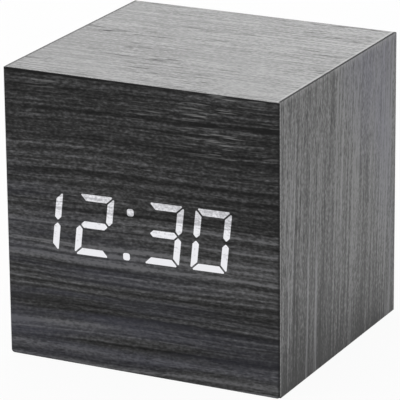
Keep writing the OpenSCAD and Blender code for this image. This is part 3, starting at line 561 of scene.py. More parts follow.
def cutVeneerEdge(look, cut):
    # sawn edge of veneer: dull, with the short fibre ends showing
    finish = {"Roughness": cut["roughness"], "Specular_IOR_Level": look["gloss"]}
    material, add, shader, place = newMaterial(look["name"], **finish)
    ends = {"Vector": place, "Scale": metre / cut["ply"], "Detail": 2.0}
    ends = add("ShaderNodeTexNoise", ends).outputs["Fac"]
    dark, light = cut["noise"]
    color = add("ShaderNodeValToRGB", {"Fac": ends},
                stops=[(dark, hexColor(look["dark"])), (light, hexColor(look["light"]))])
    relief, deep = cut["relief"]
    rough = add("ShaderNodeBump", {"Strength": relief, "Distance": deep * mm, "Height": ends})
    connect(shader, {"Base Color": color, "Normal": rough})
    return material


def makeSheets(look):
    edges = {name: cutVeneerEdge(edge, fibreEndSet) for name, edge in edgeSets.items()}
    build = weldedCopy("front_veneer")
    low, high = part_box("front_veneer")
    atRim = lambda p: min(p.x - low.x, high.x - p.x, p.z - low.z, high.z - p.z) < look["margin"] * mm
    atFace = lambda e: all(abs(v.co.y - low.y) < touch and atRim(v.co) for v in e.verts)
    grow = look["rubbed"] / look["arc"]
    for vert in build.verts:  # the lower corners are rubbed rounder
        flank = low.x if vert.co.x < 0 else high.x
        aside, above = vert.co.x - flank, vert.co.z - low.z
        if max(abs(aside), above) < (look["arc"] + look["spare"]) * mm:
            vert.co.x, vert.co.z = flank + aside * grow, low.z + above * grow
    easeEdges(build, look["ease"] * mm, 1, atFace)
    frontEdge, otherEdge = look["edgeOn"]
    for face in build.faces:
        face.material_index = int(abs(face.normal.y) < frontEdge and atRim(face.calc_center_median()))
    mesh = toMesh(build, "front_sheet", [films["front"], edges["pale"]])
    addPiece("front_sheet", mesh, "clock_case", ["front_veneer"])
    for side, (film, edge, through) in look["sheets"].items():
        build = weldedCopy(side + "_veneer")
        for face in build.faces:
            face.material_index = int(abs(face.normal[through]) < otherEdge)
        mesh = toMesh(build, side + "_sheet", [films[film], edges[edge]])
        addPiece(side + "_sheet", mesh, "clock_case", [side + "_veneer"])


makeSheets(sheetSet)
print("five veneer sheets made")

litSet = {
    "color": "#f6f6fa", "shade": "#b6b6ba", "strength": 0.86,
    "unlit": "#3a3a3c", "roughness": 0.5, "gloss": 0.25,
    "tones": (0.2, 0.75), "rise": 0.78,  # tones of the grain that show; how much they fade out low down
    "grains": 0.5, "noise": (0.35, 0.6), "speckle": 0.45,  # mm of the dark speckles, where they lie, how dark
}


def litVeneer(look):
    # veneer thinned until light passes: bright, with the darker fibres still showing
    finish = {"Base_Color": hexColor(look["unlit"]), "Roughness": look["roughness"],
              "Specular_IOR_Level": look["gloss"], "Emission_Strength": look["strength"]}
    material, add, shader, place = newMaterial("veneer lit from behind", **finish)
    grain = grainTones(add, place, filmLooks["front"])
    level = add("ShaderNodeSeparateXYZ", {0: place}).outputs["Z"]
    low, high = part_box("lit_segments")
    even = add("ShaderNodeMapRange", {0: level, 1: low.z, 2: high.z, 3: look["rise"], 4: 0.0})
    darkest, palest = look["tones"]
    glow = add("ShaderNodeMapRange", {0: grain["tone"], 1: darkest, 2: palest})
    grains = {"Vector": place, "Scale": metre / look["grains"], "Detail": 1.0}
    grains = add("ShaderNodeTexNoise", grains).outputs["Fac"]
    full, gone = look["noise"]
    grains = add("ShaderNodeMapRange", {0: grains, 1: full, 2: gone, 3: -look["speckle"], 4: 0.0})
    even = add("ShaderNodeMath", {0: even, 1: grains}, operation="ADD")
    glow = add("ShaderNodeMath", {0: glow, 1: even}, operation="ADD", use_clamp=True)
    glow = add("ShaderNodeMix", {0: glow, 6: hexColor(look["shade"]), 7: hexColor(look["color"])},
               data_type="RGBA")
    connect(shader, {"Emission Color": glow.outputs[2]})
    return material


wear(litVeneer(litSet), "lit_segments")


# boards and blocks under the veneer

fibreSet = {
    "dark": "#7d5f3f", "light": "#a5855f", "fibre": (1.6, 0.25),  # mm, length and width
    "felt": (1.2, 1.8),  # sum of the three noises at the dark and the light colour
    "stain": "#141414", "stainFrom": 28.7, "ragged": 0.6, "soft": 0.3,  # mm of depth
    "roughness": 0.85, "relief": (0.4, 0.1),  # strength and mm
}


def fibreboard(look):
    # pressed wood fibres: short pale hairs every way; the open rear edge is stained black
    material, add, shader, place = newMaterial("medium-density fibreboard, sawn", Roughness=look["roughness"])
    long, wide = look["fibre"]
    hairs = []
    for sizes in ((long, wide, wide), (wide, long, wide), (wide, wide, long)):
        scale = [metre / size for size in sizes]
        mapped = add("ShaderNodeMapping", {"Vector": place, "Scale": scale})
        noise = add("ShaderNodeTexNoise", {"Vector": mapped, "Scale": 1.0, "Detail": 1.0})
        hairs.append(noise.outputs["Fac"])
    felt = add("ShaderNodeMath", {0: hairs[0], 1: hairs[1]}, operation="ADD")
    felt = add("ShaderNodeMath", {0: felt, 1: hairs[2]}, operation="ADD")
    dark, light = look["felt"]
    share = add("ShaderNodeMapRange", {0: felt, 1: dark, 2: light})
    color = add("ShaderNodeMix", {0: share, 6: hexColor(look["dark"]), 7: hexColor(look["light"])},
                data_type="RGBA")
    depth = add("ShaderNodeSeparateXYZ", {0: place}).outputs["Y"]
    depth = add("ShaderNodeMath", {0: hairs[0], 1: look["ragged"] * mm, 2: depth}, operation="MULTIPLY_ADD")
    start = look["stainFrom"]
    stain = add("ShaderNodeMapRange", {0: depth, 1: start * mm, 2: (start + look["soft"]) * mm})
    color = add("ShaderNodeMix", {0: stain, 6: color.outputs[2], 7: hexColor(look["stain"])},
                data_type="RGBA")
    relief, deep = look["relief"]
    nap = add("ShaderNodeBump", {"Strength": relief, "Distance": deep * mm, "Height": felt})
    connect(shader, {"Base Color": color.outputs[2], "Normal": nap})
    return material


pineSet = {
    "early": "#cfae7c", "late": "#a87c48",
    "rings": (1.3, 40, 3.9), "noise": (0.4, 0.6),  # mm along x, y and z; where early and late wood lie
    "roughness": 0.75, "relief": (0.3, 0.1),  # strength and mm
}


def sawnPine(look):
    # softwood along the length of the block: pale wood between darker summer rings
    material, add, shader, place = newMaterial("pine, sawn", Roughness=look["roughness"])
    scale = [metre / size for size in look["rings"]]
    mapped = add("ShaderNodeMapping", {"Vector": place, "Scale": scale})
    rings = add("ShaderNodeTexNoise", {"Vector": mapped, "Scale": 1.0, "Detail": 2.0})
    early, late = look["noise"]
    color = add("ShaderNodeValToRGB", {"Fac": rings},
                stops=[(early, hexColor(look["early"])), (late, hexColor(look["late"]))])
    relief, deep = look["relief"]
    saw = add("ShaderNodeBump", {"Strength": relief, "Distance": deep * mm, "Height": rings})
    connect(shader, {"Base Color": color, "Normal": saw})
    return material


wear(fibreboard(fibreSet), "top_panel", "bottom_panel", "left_panel", "right_panel", "front_board")
wear(sawnPine(pineSet), "corner_blocks")
print("boards and glue blocks finished")


# moulded plastics: colours, mm of the slow colour change, mm of the skin's grit and its depth, gloss

plasticSet = {
    # grit of the spark-eroded skin is drawn at twice its size to show
    "blackAbs": {"name": "black ABS, spark-eroded mould", "dark": "#151516", "light": "#1e1e1f", "cloud": 16,
                 "grit": 0.4, "relief": 0.03, "roughness": 0.5, "ior": 1.54},
    "keyAbs": {"name": "dark grey ABS, satin mould", "dark": "#29292b", "light": "#313134", "cloud": 8,
               "grit": 0.25, "relief": 0.008, "roughness": 0.36, "ior": 1.54},
    "whiteAbs": {"name": "white ABS, moulded", "dark": "#d8d8d4", "light": "#e6e6e2", "cloud": 12,
                 "grit": 0.6, "relief": 0.01, "roughness": 0.45, "ior": 1.54},
    "nylon": {"name": "natural nylon, moulded", "dark": "#d3d0c4", "light": "#e4e1d6", "cloud": 5,
              "grit": 0.5, "relief": 0.01, "roughness": 0.42, "ior": 1.53},
    "epoxy": {"name": "black epoxy, transfer moulded", "dark": "#1b1b1c", "light": "#262627", "cloud": 4,
              "grit": 0.18, "relief": 0.012, "roughness": 0.6, "ior": 1.55},
    "redPvc": {"name": "red PVC, extruded", "dark": "#9c1512", "light": "#b71d18", "cloud": 6,
               "grit": 0.9, "relief": 0.01, "roughness": 0.35, "ior": 1.53},
    "blackPvc": {"name": "black PVC, extruded", "dark": "#161616", "light": "#222222", "cloud": 6,
                 "grit": 0.9, "relief": 0.01, "roughness": 0.35, "ior": 1.53},
    "opalFilm": {"name": "opal polycarbonate film", "dark": "#e2e2dc", "light": "#efefea", "cloud": 10,
                 "grit": 0.3, "relief": 0.006, "roughness": 0.6, "ior": 1.58},
    "phosphor": {"name": "light chip, phosphor in silicone", "dark": "#d9b64a", "light": "#efd777",
                 "cloud": 0.5, "grit": 0.12, "relief": 0.01, "roughness": 0.3, "ior": 1.41},
    "sleevePale": {"name": "pale grey PET shrink sleeve", "dark": "#c0c2c5", "light": "#c5c7c9", "cloud": 30,
                   "grit": 3.0, "relief": 0.004, "roughness": 0.25, "uneven": 0.03, "ior": 1.57},
    "sleeveDark": {"name": "dark grey PET shrink sleeve", "dark": "#3c3f43", "light": "#414448", "cloud": 30,
                   "grit": 3.0, "relief": 0.004, "roughness": 0.25, "uneven": 0.03, "ior": 1.57},
    "ink": {"name": "pad-printed ink", "dark": "#b4b4b1", "light": "#d2d2cf", "cloud": 0.7,
            "grit": 0.2, "relief": 0.006, "roughness": 0.55, "ior": 1.5},
}
# for all of them: noise at the two colours, strength of the relief, how far the roughness varies
mouldSet = {"cloud": (0.35, 0.65), "relief": 0.6, "uneven": 0.08}


def mouldedPlastic(look, mould):
    # the skin of the mould breaks the gloss into fine even grit, over a faint cloud in the colour
    material, add, shader, place = newMaterial(look["name"], IOR=look["ior"])
    cloud, grit = [
        add("ShaderNodeTexNoise", {"Vector": place, "Scale": metre / size, "Detail": detail})
        for size, detail in ((look["cloud"], 2.0), (look["grit"], 1.0))]
    dark, light = mould["cloud"]
    color = add("ShaderNodeValToRGB", {"Fac": cloud},
                stops=[(dark, hexColor(look["dark"])), (light, hexColor(look["light"]))])
    dullness, uneven = look["roughness"], look.get("uneven", mould["uneven"])
    gloss = add("ShaderNodeMapRange",
                {0: grit, 1: noiseLow, 2: noiseHigh, 3: dullness - uneven, 4: dullness + uneven})
    skin = {"Strength": mould["relief"], "Distance": look["relief"] * mm, "Height": grit}
    skin = add("ShaderNodeBump", skin)
    connect(shader, {"Base Color": color, "Roughness": gloss, "Normal": skin})
    return material


# metals: colours, mm of the marks left by rolling or turning along x, y and z, gloss

metalSet = {
    "nickel": {"name": "nickel plate on spring steel", "dark": "#a8a49b", "light": "#c9c5bb",
               "marks": (1.5, 0.15, 1.5), "roughness": 0.28},
    "zinc": {"name": "zinc-plated steel", "dark": "#9a9ea3", "light": "#bcc0c4",
             "marks": (0.5, 0.5, 0.5), "roughness": 0.35},
    "blackOxide": {"name": "black-oxide steel", "dark": "#26272a", "light": "#3a3b3f",
                   "marks": (0.4, 0.4, 0.4), "roughness": 0.4},
    "tin": {"name": "tin plate", "dark": "#b2b2ae", "light": "#cfcfcb",
            "marks": (0.3, 0.3, 0.3), "roughness": 0.33},
    "aluminium": {"name": "drawn aluminium", "dark": "#bcbdbf", "light": "#d2d3d5",
                  "marks": (0.3, 2, 0.3), "roughness": 0.3},
}
# for all of them: how much the marks dull and the ground between them shines, strength and mm of the relief
formedSet = {"duller": 0.1, "brighter": 0.08, "relief": (0.3, 0.01)}


def platedMetal(look, formed):
    # bright metal, its gloss unevenly broken by the fine marks of how it was formed
    material, add, shader, place = newMaterial(look["name"], Metallic=1.0)
    scale = [metre / size for size in look["marks"]]
    mapped = add("ShaderNodeMapping", {"Vector": place, "Scale": scale})
    marks = add("ShaderNodeTexNoise", {"Vector": mapped, "Scale": 1.0, "Detail": 2.0})
    color = add("ShaderNodeValToRGB", {"Fac": marks},
                stops=[(noiseLow, hexColor(look["dark"])), (noiseHigh, hexColor(look["light"]))])
    dull, bright = look["roughness"] + formed["duller"], look["roughness"] - formed["brighter"]
    gloss = add("ShaderNodeMapRange", {0: marks, 1: noiseLow, 2: noiseHigh, 3: dull, 4: bright})
    relief, deep = formed["relief"]
    drawn = add("ShaderNodeBump", {"Strength": relief, "Distance": deep * mm, "Height": marks})
    connect(shader, {"Base Color": color, "Roughness": gloss, "Normal": drawn})
    return material


plastics = {name: mouldedPlastic(look, mouldSet) for name, look in plasticSet.items()}
metals = {name: platedMetal(look, formedSet) for name, look in metalSet.items()}
wear(plastics["opalFilm"], "diffuser_sheet")
wear(plastics["whiteAbs"], "display_reflector")
wear(plastics["phosphor"], "segment_leds")
wear(plastics["nylon"], "display_spacers", "display_socket", "control_socket", "set_plunger", "down_plunger",
     "up_plunger")
wear(plastics["epoxy"], "switch_bodies")
wear(plastics["blackAbs"], "jack_body", "buzzer")
wear(plastics["redPvc"], "positive_lead")
wear(plastics["blackPvc"], "negative_lead")
wear(metals["nickel"], "crystal", "jack_pin", "positive_contact", "negative_contact", "left_link_contact",
     "right_link_contact")

boardSet = {
    "mask": "#0f4a2a", "maskToo": "#125230", "track": "#1d6b3d",
    "trackWide": 0.3, "trackLong": 9.0, "pitch": 1.27,  # mm
    "roughness": 0.3, "relief": (0.5, 0.03),  # strength and mm
}


def solderMask(look):
    # green lacquer over etched copper: glossy, the tracks stand out paler and slightly raised
    material, add, shader, place = newMaterial("fibreglass board, green solder mask",
                                               Roughness=look["roughness"])
    upright = add("ShaderNodeMapping", {
        "Vector": place, "Rotation": (-math.pi / 2, 0, 0), "Scale": (metre, metre, metre)})
    tracks = add("ShaderNodeTexBrick", {
        "Vector": upright, "Color1": hexColor(look["mask"]), "Color2": hexColor(look["maskToo"]),
        "Mortar": hexColor(look["track"]), "Scale": 1.0, "Mortar Size": look["trackWide"] / 2,
        "Brick Width": look["trackLong"], "Row Height": look["pitch"]})
    relief, deep = look["relief"]
    raised = {"Strength": relief, "Distance": deep * mm, "Height": tracks.outputs["Fac"]}
    connect(shader, {"Base Color": tracks, "Normal": add("ShaderNodeBump", raised)})
    return material


ribbonSet = {
    "groove": "#77787b", "ridge": "#9b9ca0", "first": "#8c2b28",
    "pitch": 1.27, "firstWide": 0.8,  # mm; share of the pitch
    "roughness": 0.45, "ior": 1.53, "relief": (0.8, 0.3),  # strength and mm
}


def flatCable(look):
    # grey PVC over round cores: a soft ridge for each core, and the first one marked red
    finish = {"Roughness": look["roughness"], "IOR": look["ior"]}
    material, add, shader, place = newMaterial("grey PVC flat cable", **finish)
    across = add("ShaderNodeSeparateXYZ", {0: place}).outputs["X"]
    half = look["pitch"] / 2 * mm
    ridge = add("ShaderNodeMath", {0: across, 1: half}, operation="PINGPONG")
    ridge = add("ShaderNodeMapRange", {0: ridge, 2: half})
    color = add("ShaderNodeMix",
                {0: ridge, 6: hexColor(look["groove"]), 7: hexColor(look["ridge"])}, data_type="RGBA")
    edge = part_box("ribbon_cable")[0].x + look["pitch"] * look["firstWide"] * mm
    first = add("ShaderNodeMath", {0: across, 1: edge}, operation="LESS_THAN")
    color = add("ShaderNodeMix", {0: first, 6: color.outputs[2], 7: hexColor(look["first"])},
                data_type="RGBA")
    relief, deep = look["relief"]
    cores = add("ShaderNodeBump", {"Strength": relief, "Distance": deep * mm, "Height": ridge})
    connect(shader, {"Base Color": color.outputs[2], "Normal": cores})
    return material


resistorSet = {"body": "#1d1d1f", "ends": "#c4c4c0", "endLong": 0.35,  # mm
               "roughness": (0.45, 0.28)}  # of the body and the ends


def thickFilmResistor(look):
    # black glaze between bright tinned ends
    material, add, shader, place = newMaterial("thick-film chip resistor, tinned ends")
    low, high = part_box("board_resistors")
    away = add("ShaderNodeSeparateXYZ", {0: place}).outputs["Z"]
    away = add("ShaderNodeMath", {0: away, 1: (low.z + high.z) / 2}, operation="SUBTRACT")
    away = add("ShaderNodeMath", {0: away}, operation="ABSOLUTE")
    bare = (high.z - low.z) / 2 - look["endLong"] * mm
    end = add("ShaderNodeMath", {0: away, 1: bare}, operation="GREATER_THAN")
    color = add("ShaderNodeMix", {0: end, 6: hexColor(look["body"]), 7: hexColor(look["ends"])},
                data_type="RGBA")
    glazed, tinned = look["roughness"]
    gloss = add("ShaderNodeMapRange", {0: end, 3: glazed, 4: tinned})
    connect(shader, {"Base Color": color.outputs[2], "Metallic": end, "Roughness": gloss})
    return material


wear(solderMask(boardSet), "display_board", "control_board")
wear(flatCable(ribbonSet), "ribbon_cable")
wear(thickFilmResistor(resistorSet), "board_resistors")
print("plastics, metals and boards finished")


# back of the clock: cover, battery door and keys

rearSet = {"coverEase": 0.2, "doorEase": 0.18, "doorThick": 1.8}  # mm, rounding of the moulded edges
keySet = {
    "flange": 0.6, "flangeThick": 1.0, "rounded": 0.35, "dish": 15.0, "dishDeep": 0.2,  # mm
    "arc": (0, 22.5, 45, 67.5, 90),  # degrees round the edge of the crown
    "crown": (0.85, 0.65, 0.4), "steps": 16,  # shares of the outline; points on each half of it
}


def makeKey(key, look):
    # rings of a stadium outline from the flange to the rounded crown, hollowed for the fingertip
    low, high = (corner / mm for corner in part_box(key + "_button"))
    middle = (low + high) / 2
    radius = (high.z - low.z) / 2 - look["flange"]
    straight = (high.x - low.x) / 2 - look["flange"] - radius
    shoulder = low.y + look["flangeThick"]
    rounded, dish = look["rounded"], look["dish"]
    rings = [(low.y, look["flange"], 1), (shoulder, look["flange"], 1), (shoulder, 0, 1)]
    for a in map(math.radians, look["arc"]):
        rings.append((high.y - rounded * (1 - math.sin(a)), -rounded * (1 - math.cos(a)), 1))
    rings += [(high.y, -rounded, shrunk) for shrunk in look["crown"]]
    build = bmesh.new()
    loops = []
    for y, grown, shrunk in rings:
        loop = []
        for k in range(2 * look["steps"]):
            a = math.pi * (k + 0.5) / look["steps"] - math.pi / 2
            x = ((radius + grown) * math.cos(a) + math.copysign(straight, math.cos(a))) * shrunk
            z = (radius + grown) * math.sin(a) * shrunk
            hollow = high.y - look["dishDeep"] + dish - math.sqrt(dish ** 2 - x * x - z * z)
            loop.append(build.verts.new((Vector((middle.x + x, min(y, hollow), middle.z + z))) * mm))
        loops.append(loop)
    for near, far in zip(loops, loops[1:]):
        for k in range(len(near)):
            build.faces.new((near[k - 1], near[k], far[k], far[k - 1]))
    build.faces.new(loops[0])
    build.faces.new(loops[-1])
    bmesh.ops.recalc_face_normals(build, faces=build.faces)
    mesh = toMesh(build, key + "_cap", [plastics["keyAbs"]])
    addPiece(key + "_cap", mesh, key + "_key", [key + "_button"], smoothAngle=40)


def makeRear(look):
    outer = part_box("back_cover")[1].y
    build = weldedCopy("back_cover")
    easeEdges(build, look["coverEase"] * mm, 2, lambda e: all(v.co.y > outer - touch for v in e.verts))
    mesh = toMesh(build, "rear_cover", [plastics["blackAbs"]])
    addPiece("rear_cover", mesh, "clock_case", ["back_cover"], flats=True)
    for key in ("set", "down", "up"):
        makeKey(key, keySet)


# mm: heights of the two ribs inside the battery door, their size, and how far they sink into it
doorRibSet = {"heights": (21.6, 32.5), "length": 30.0, "tall": 1.3, "foot": 1.1, "crest": 0.6, "sunk": 0.02}


def ribTree():
    tree, add, given = geometryTree("moulded rib", {
        "Length": "Float", "Tall": "Float", "Foot": "Float", "Crest": "Float", "Material": "Material"})
    half = add("ShaderNodeMath", {0: given["Length"], 1: 0.5}, operation="MULTIPLY")
    minus = add("ShaderNodeMath", {0: half, 1: -1.0}, operation="MULTIPLY")
    start, end = [add("ShaderNodeCombineXYZ", {0: x}) for x in (minus, half)]
    spine = add("GeometryNodeCurvePrimitiveLine", {"Start": start, "End": end})
    section = add("GeometryNodeCurvePrimitiveQuadrilateral", {
        "Height": given["Tall"], "Bottom Width": given["Foot"], "Top Width": given["Crest"], "Offset": 0.0},
        mode="TRAPEZOID")
    rib = add("GeometryNodeCurveToMesh", {"Curve": spine, "Profile Curve": section, "Fill Caps": True})
    ribs = add("GeometryNodeInstanceOnPoints", {"Points": given["Geometry"], "Instance": rib})
    closeTree(add, given, ribs)
    return tree


def makeDoor(look, ribs):
    build = weldedCopy("battery_door")
    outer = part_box("back_cover")[1].y
    inner = outer - look["doorThick"] * mm
    flank = max(v.co.x for v in build.verts) - touch
    atFace = lambda e: all(v.co.y > outer - touch for v in e.verts)
    atFlank = lambda e: all(abs(v.co.x) > flank for v in e.verts)
    easeEdges(build, look["doorEase"] * mm, 2, lambda e: atFace(e) or atFlank(e))
    seat = inner - ribs["tall"] / 2 * mm + ribs["sunk"] * mm
    mesh = growMesh("door_ribs", ribTree(), [(0, seat, height * mm) for height in ribs["heights"]], {
        "Length": ribs["length"] * mm, "Tall": ribs["tall"] * mm, "Foot": ribs["foot"] * mm,
        "Crest": ribs["crest"] * mm, "Material": plastics["blackAbs"]})
    panel = toMesh(build, "door_panel", [plastics["blackAbs"]])
    addPiece("door_panel", panel, "door", ["battery_door"], flats=True)
    addPiece("door_ribs", mesh, "door")


makeRear(rearSet)
makeDoor(rearSet, doorRibSet)
print("rear cover, keys and battery door made")

screwSets = {
    # CAD node: which way the heads face, sizes in mm, finish
    "cover_screws": {"facing": 1, "head": 3.6, "tall": 1.1, "recess": 2.4, "shank": 2.0,
                     "metal": "blackOxide", "slot": "black_screw", "seed": 4},
    "display_screws": {"facing": 1, "head": 3.4, "tall": 1.1, "recess": 2.0, "shank": 1.6,
                       "metal": "zinc", "slot": "zinc_screw", "seed": 9},
    "control_screws": {"facing": -1, "head": 3.2, "tall": 1.0, "recess": 1.9, "shank": 1.6,
                       "metal": "zinc", "slot": "zinc_screw", "seed": 2},
}
headSet = {
    # straight rim, then the domed top: rise as a share of the head's height, and how it narrows
    "dome": ((0.5, 1.0), (0.2, 0.95), (0.17, 0.88), (0.13, 0.75)),
    "shares": {  # a size of the screw: the input that it follows and its share of that
        "headRadius": ("Head Width", 0.5), "shankRadius": ("Shank Width", 0.5), "bite": ("Head Height", 0.25),
        "wingThick": ("Recess Width", 0.28), "wingTall": ("Head Height", 1.3)},
    "headSides": 32, "shankSides": 20,
}


def screwTree(look):
    tree, add, given = geometryTree("cross-recess screw", {
        "Head Width": "Float", "Head Height": "Float", "Recess Width": "Float", "Shank Width": "Float",
        "Shank Length": "Float", "Facing": "Vector", "Seed": "Int", "Material": "Material"})
    size = {name: add("ShaderNodeMath", {0: given[label], 1: share}, operation="MULTIPLY")
            for name, (label, share) in look["shares"].items()}
    disc = {"Vertices": look["headSides"], "Radius": size["headRadius"]}
    disc = add("GeometryNodeMeshCircle", disc, fill_type="NGON")
    head, top = disc, True
    for rise, narrow in look["dome"]:
        rise = add("ShaderNodeMath", {0: given["Head Height"], 1: rise}, operation="MULTIPLY")
        grown = add("GeometryNodeExtrudeMesh", {
            "Mesh": head, "Selection": top, "Individual": False, "Offset Scale": rise})
        top = grown.outputs["Top"]
        head = add("GeometryNodeScaleElements", {"Geometry": grown, "Selection": top, "Scale": narrow})
    under = add("GeometryNodeFlipFaces", {"Mesh": disc})
    head = add("GeometryNodeJoinGeometry", {"Geometry": [head, under]})
    head = add("GeometryNodeMergeByDistance", {"Geometry": head, "Distance": touch})
    # the shank bites a little into the head
    long = add("ShaderNodeMath", {0: given["Shank Length"], 1: size["bite"]}, operation="ADD")
    shank = add("GeometryNodeMeshCylinder", {
        "Vertices": look["shankSides"], "Radius": size["shankRadius"], "Depth": long})
    sunk = add("ShaderNodeMath", {0: long, 1: -0.5, 2: size["bite"]}, operation="MULTIPLY_ADD")
    sunk = add("ShaderNodeCombineXYZ", {2: sunk})
    shank = add("GeometryNodeTransform", {"Geometry": shank, "Translation": sunk})
    screw = add("GeometryNodeMeshBoolean", {"Mesh 2": [head, shank]}, operation="UNION", solver="EXACT")
    crown = add("ShaderNodeCombineXYZ", {2: given["Head Height"]})
    wings = []
    for first, second in ((0, 1), (1, 0)):  # the two wings of the cross, along x and along y
        wing = add("ShaderNodeCombineXYZ", {
            first: given["Recess Width"], second: size["wingThick"], 2: size["wingTall"]})
        wing = add("GeometryNodeMeshCube", {"Size": wing})
        wings.append(add("GeometryNodeTransform", {"Geometry": wing, "Translation": crown}))
    screw = add("GeometryNodeMeshBoolean", {"Mesh 1": screw, "Mesh 2": wings},
                operation="DIFFERENCE", solver="EXACT")
    facing = add("FunctionNodeEulerToRotation", {0: given["Facing"]})
    screws = add("GeometryNodeInstanceOnPoints", {
        "Points": given["Geometry"], "Instance": screw, "Rotation": facing})
    driven = add("FunctionNodeRandomValue", {2: 0.0, 3: math.pi / 2, "Seed": given["Seed"]},
                 data_type="FLOAT")
    driven = add("ShaderNodeCombineXYZ", {2: driven.outputs[1]})
    driven = add("FunctionNodeEulerToRotation", {0: driven})
    screws = add("GeometryNodeRotateInstances", {
        "Instances": screws, "Rotation": driven, "Local Space": True})
    closeTree(add, given, screws)
    return tree


def makeScrews(sets):
    tree = screwTree(headSet)
    for node, look in sets.items():
        seats = []
        for low, high in partBoxes(node):
            seat = high.y - look["tall"] * mm if look["facing"] > 0 else low.y + look["tall"] * mm
            seats.append(((low.x + high.x) / 2, seat, (low.z + high.z) / 2))
            shankLong = high.y - low.y - look["tall"] * mm
        mesh = growMesh(node + "_driven", tree, seats, {
            "Head Width": look["head"] * mm, "Head Height": look["tall"] * mm,
            "Recess Width": look["recess"] * mm, "Shank Width": look["shank"] * mm, "Shank Length": shankLong,
            "Facing": (-look["facing"] * math.pi / 2, 0, 0), "Seed": look["seed"],
            "Material": metals[look["metal"]]})
        addPiece(node + "_driven", mesh, "clock_case", [node])


makeScrews(screwSets)

cellNodes = ("bottom_cell", "middle_cell", "top_cell")
springSet = {
    "wire": 0.5, "wide": 6.72, "narrow": 4.62,  # mm across
    "turns": 3.0, "turnSteps": 32, "wireSides": 12,
}


def springTree(look):
    tree, add, given = geometryTree("conical contact spring", {
        "Wire": "Float", "Wide": "Float", "Narrow": "Float", "Turns": "Float", "Run": "Float",
        "Material": "Material"})
    radius = {label: add("ShaderNodeMath", {0: given[label], 1: 0.5}, operation="MULTIPLY")
              for label in ("Wide", "Narrow", "Wire")}
    coil = add("GeometryNodeCurveSpiral", {
        "Resolution": look["turnSteps"], "Rotations": given["Turns"], "Start Radius": radius["Wide"],
        "End Radius": radius["Narrow"], "Height": given["Run"]})
    wire = {"Resolution": look["wireSides"], "Radius": radius["Wire"]}
    wire = add("GeometryNodeCurvePrimitiveCircle", wire, mode="RADIUS")
    spring = add("GeometryNodeCurveToMesh", {"Curve": coil, "Profile Curve": wire, "Fill Caps": True})
    # each spring winds from its plate towards the middle of the bay
    where = add("GeometryNodeInputPosition")
    where = add("ShaderNodeSeparateXYZ", {0: where}).outputs["X"]
    side = add("ShaderNodeMath", {0: where}, operation="SIGN")
    side = add("ShaderNodeMath", {0: side, 1: -math.pi / 2}, operation="MULTIPLY")
    facing = add("ShaderNodeCombineXYZ", {1: side})
    facing = add("FunctionNodeEulerToRotation", {0: facing})
    springs = add("GeometryNodeInstanceOnPoints", {
        "Points": given["Geometry"], "Instance": spring, "Rotation": facing})
    closeTree(add, given, springs)
    return tree


def makeSprings(look):
    cells = [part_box(cell) for cell in cellNodes]
    cellAxis = (cells[0][0].y + cells[0][1].y) / 2
    rows = [(low.z + high.z) / 2 for low, high in cells]
    seats = []
    for low, high in partBoxes("battery_springs"):
        plate = high.x if high.x > -low.x else low.x
        run = high.x - low.x - look["wire"] * mm
        back = math.copysign(look["wire"] / 2 * mm, plate)
        middle = (low.z + high.z) / 2
        seats.append((plate - back, cellAxis, min(rows, key=lambda row: abs(row - middle))))
    mesh = growMesh("contact_springs", springTree(look), seats, {
        "Wire": look["wire"] * mm, "Wide": look["wide"] * mm, "Narrow": look["narrow"] * mm,
        "Turns": look["turns"], "Run": run, "Material": metals["nickel"]})
    addPiece("contact_springs", mesh, "clock_case", ["battery_springs"], smoothAngle=60)


makeSprings(springSet)
print("screws and springs made")

cellSet = {
    # mm from the flat end, radius, finish of the strip that follows: 0 steel, 1 pale sleeve, 2 dark sleeve
    "profile": [(0.1, 0, 0), (0.1, 3.7, 0), (0.25, 3.95, 0), (0.25, 4.2, 1), (0.02, 4.45, 1), (0.02, 4.8, 1),
                (0.2, 5.12, 1), (0.55, 5.25, 1), (30.5, 5.25, 2), (31.3, 5.25, 1), (32.2, 5.25, 2),
                (42.9, 5.25, 2), (43.3, 5.1, 2), (43.5, 4.75, 2), (43.5, 4.35, 0), (43.25, 4.1, 0),
                (43.25, 2.5, 0), (43.4, 2.05, 0), (44.2, 1.9, 0), (44.42, 1.78, 0), (44.5, 1.5, 0),
                (44.5, 0, 0)],
}


def makeCells(look):
    finishes = [metals["tin"], plastics["sleevePale"], plastics["sleeveDark"]]
    for node in cellNodes:
        low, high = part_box(node)
        towards = 1 if high.x > -low.x else -1  # the button points to the nearer end plate
        start = Vector((low.x if towards > 0 else high.x, (low.y + high.y) / 2, (low.z + high.z) / 2))
        build = bmesh.new()
        turn(build, look["profile"], start, (towards, 0, 0))
        mesh = toMesh(build, node + "_sleeved", finishes)
        addPiece(node + "_sleeved", mesh, "clock_case", [node], smoothAngle=35)


makeCells(cellSet)

jackSet = {"outer": 1.79, "inner": 1.62, "deep": 6.0, "back": 0.5}  # mm, sprung sleeve inside the power jack


def makeJackLiner(look):
    low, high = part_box("jack_pin")
    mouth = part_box("jack_body")[1].y
    start = Vector(((low.x + high.x) / 2, mouth - look["back"] * mm, (low.z + high.z) / 2))
    inner, outer, deep = look["inner"], look["outer"], look["deep"]
    profile = [(0, inner, 0), (0, outer, 0), (deep, outer, 0), (deep, inner, 0), (0, inner, 0)]
    build = bmesh.new()
    turn(build, profile, start, (0, -1, 0), steps=40)
    addPiece("jack_liner", toMesh(build, "jack_liner", [metals["nickel"]]), "clock_case")


makeJackLiner(jackSet)

markSet = {
    # mm, printed signs above the keys and the jack
    "height": 58.3, "size": 1.9, "line": 0.32, "thick": 0.03, "sunk": 0.01,
    "foot": 0.4, "tip": 0.5,  # of the arrows, as shares of the size
    "dot": 0.4, "apart": 2.2, "bar": 1.2,  # pin of the jack, and its plus and minus
}


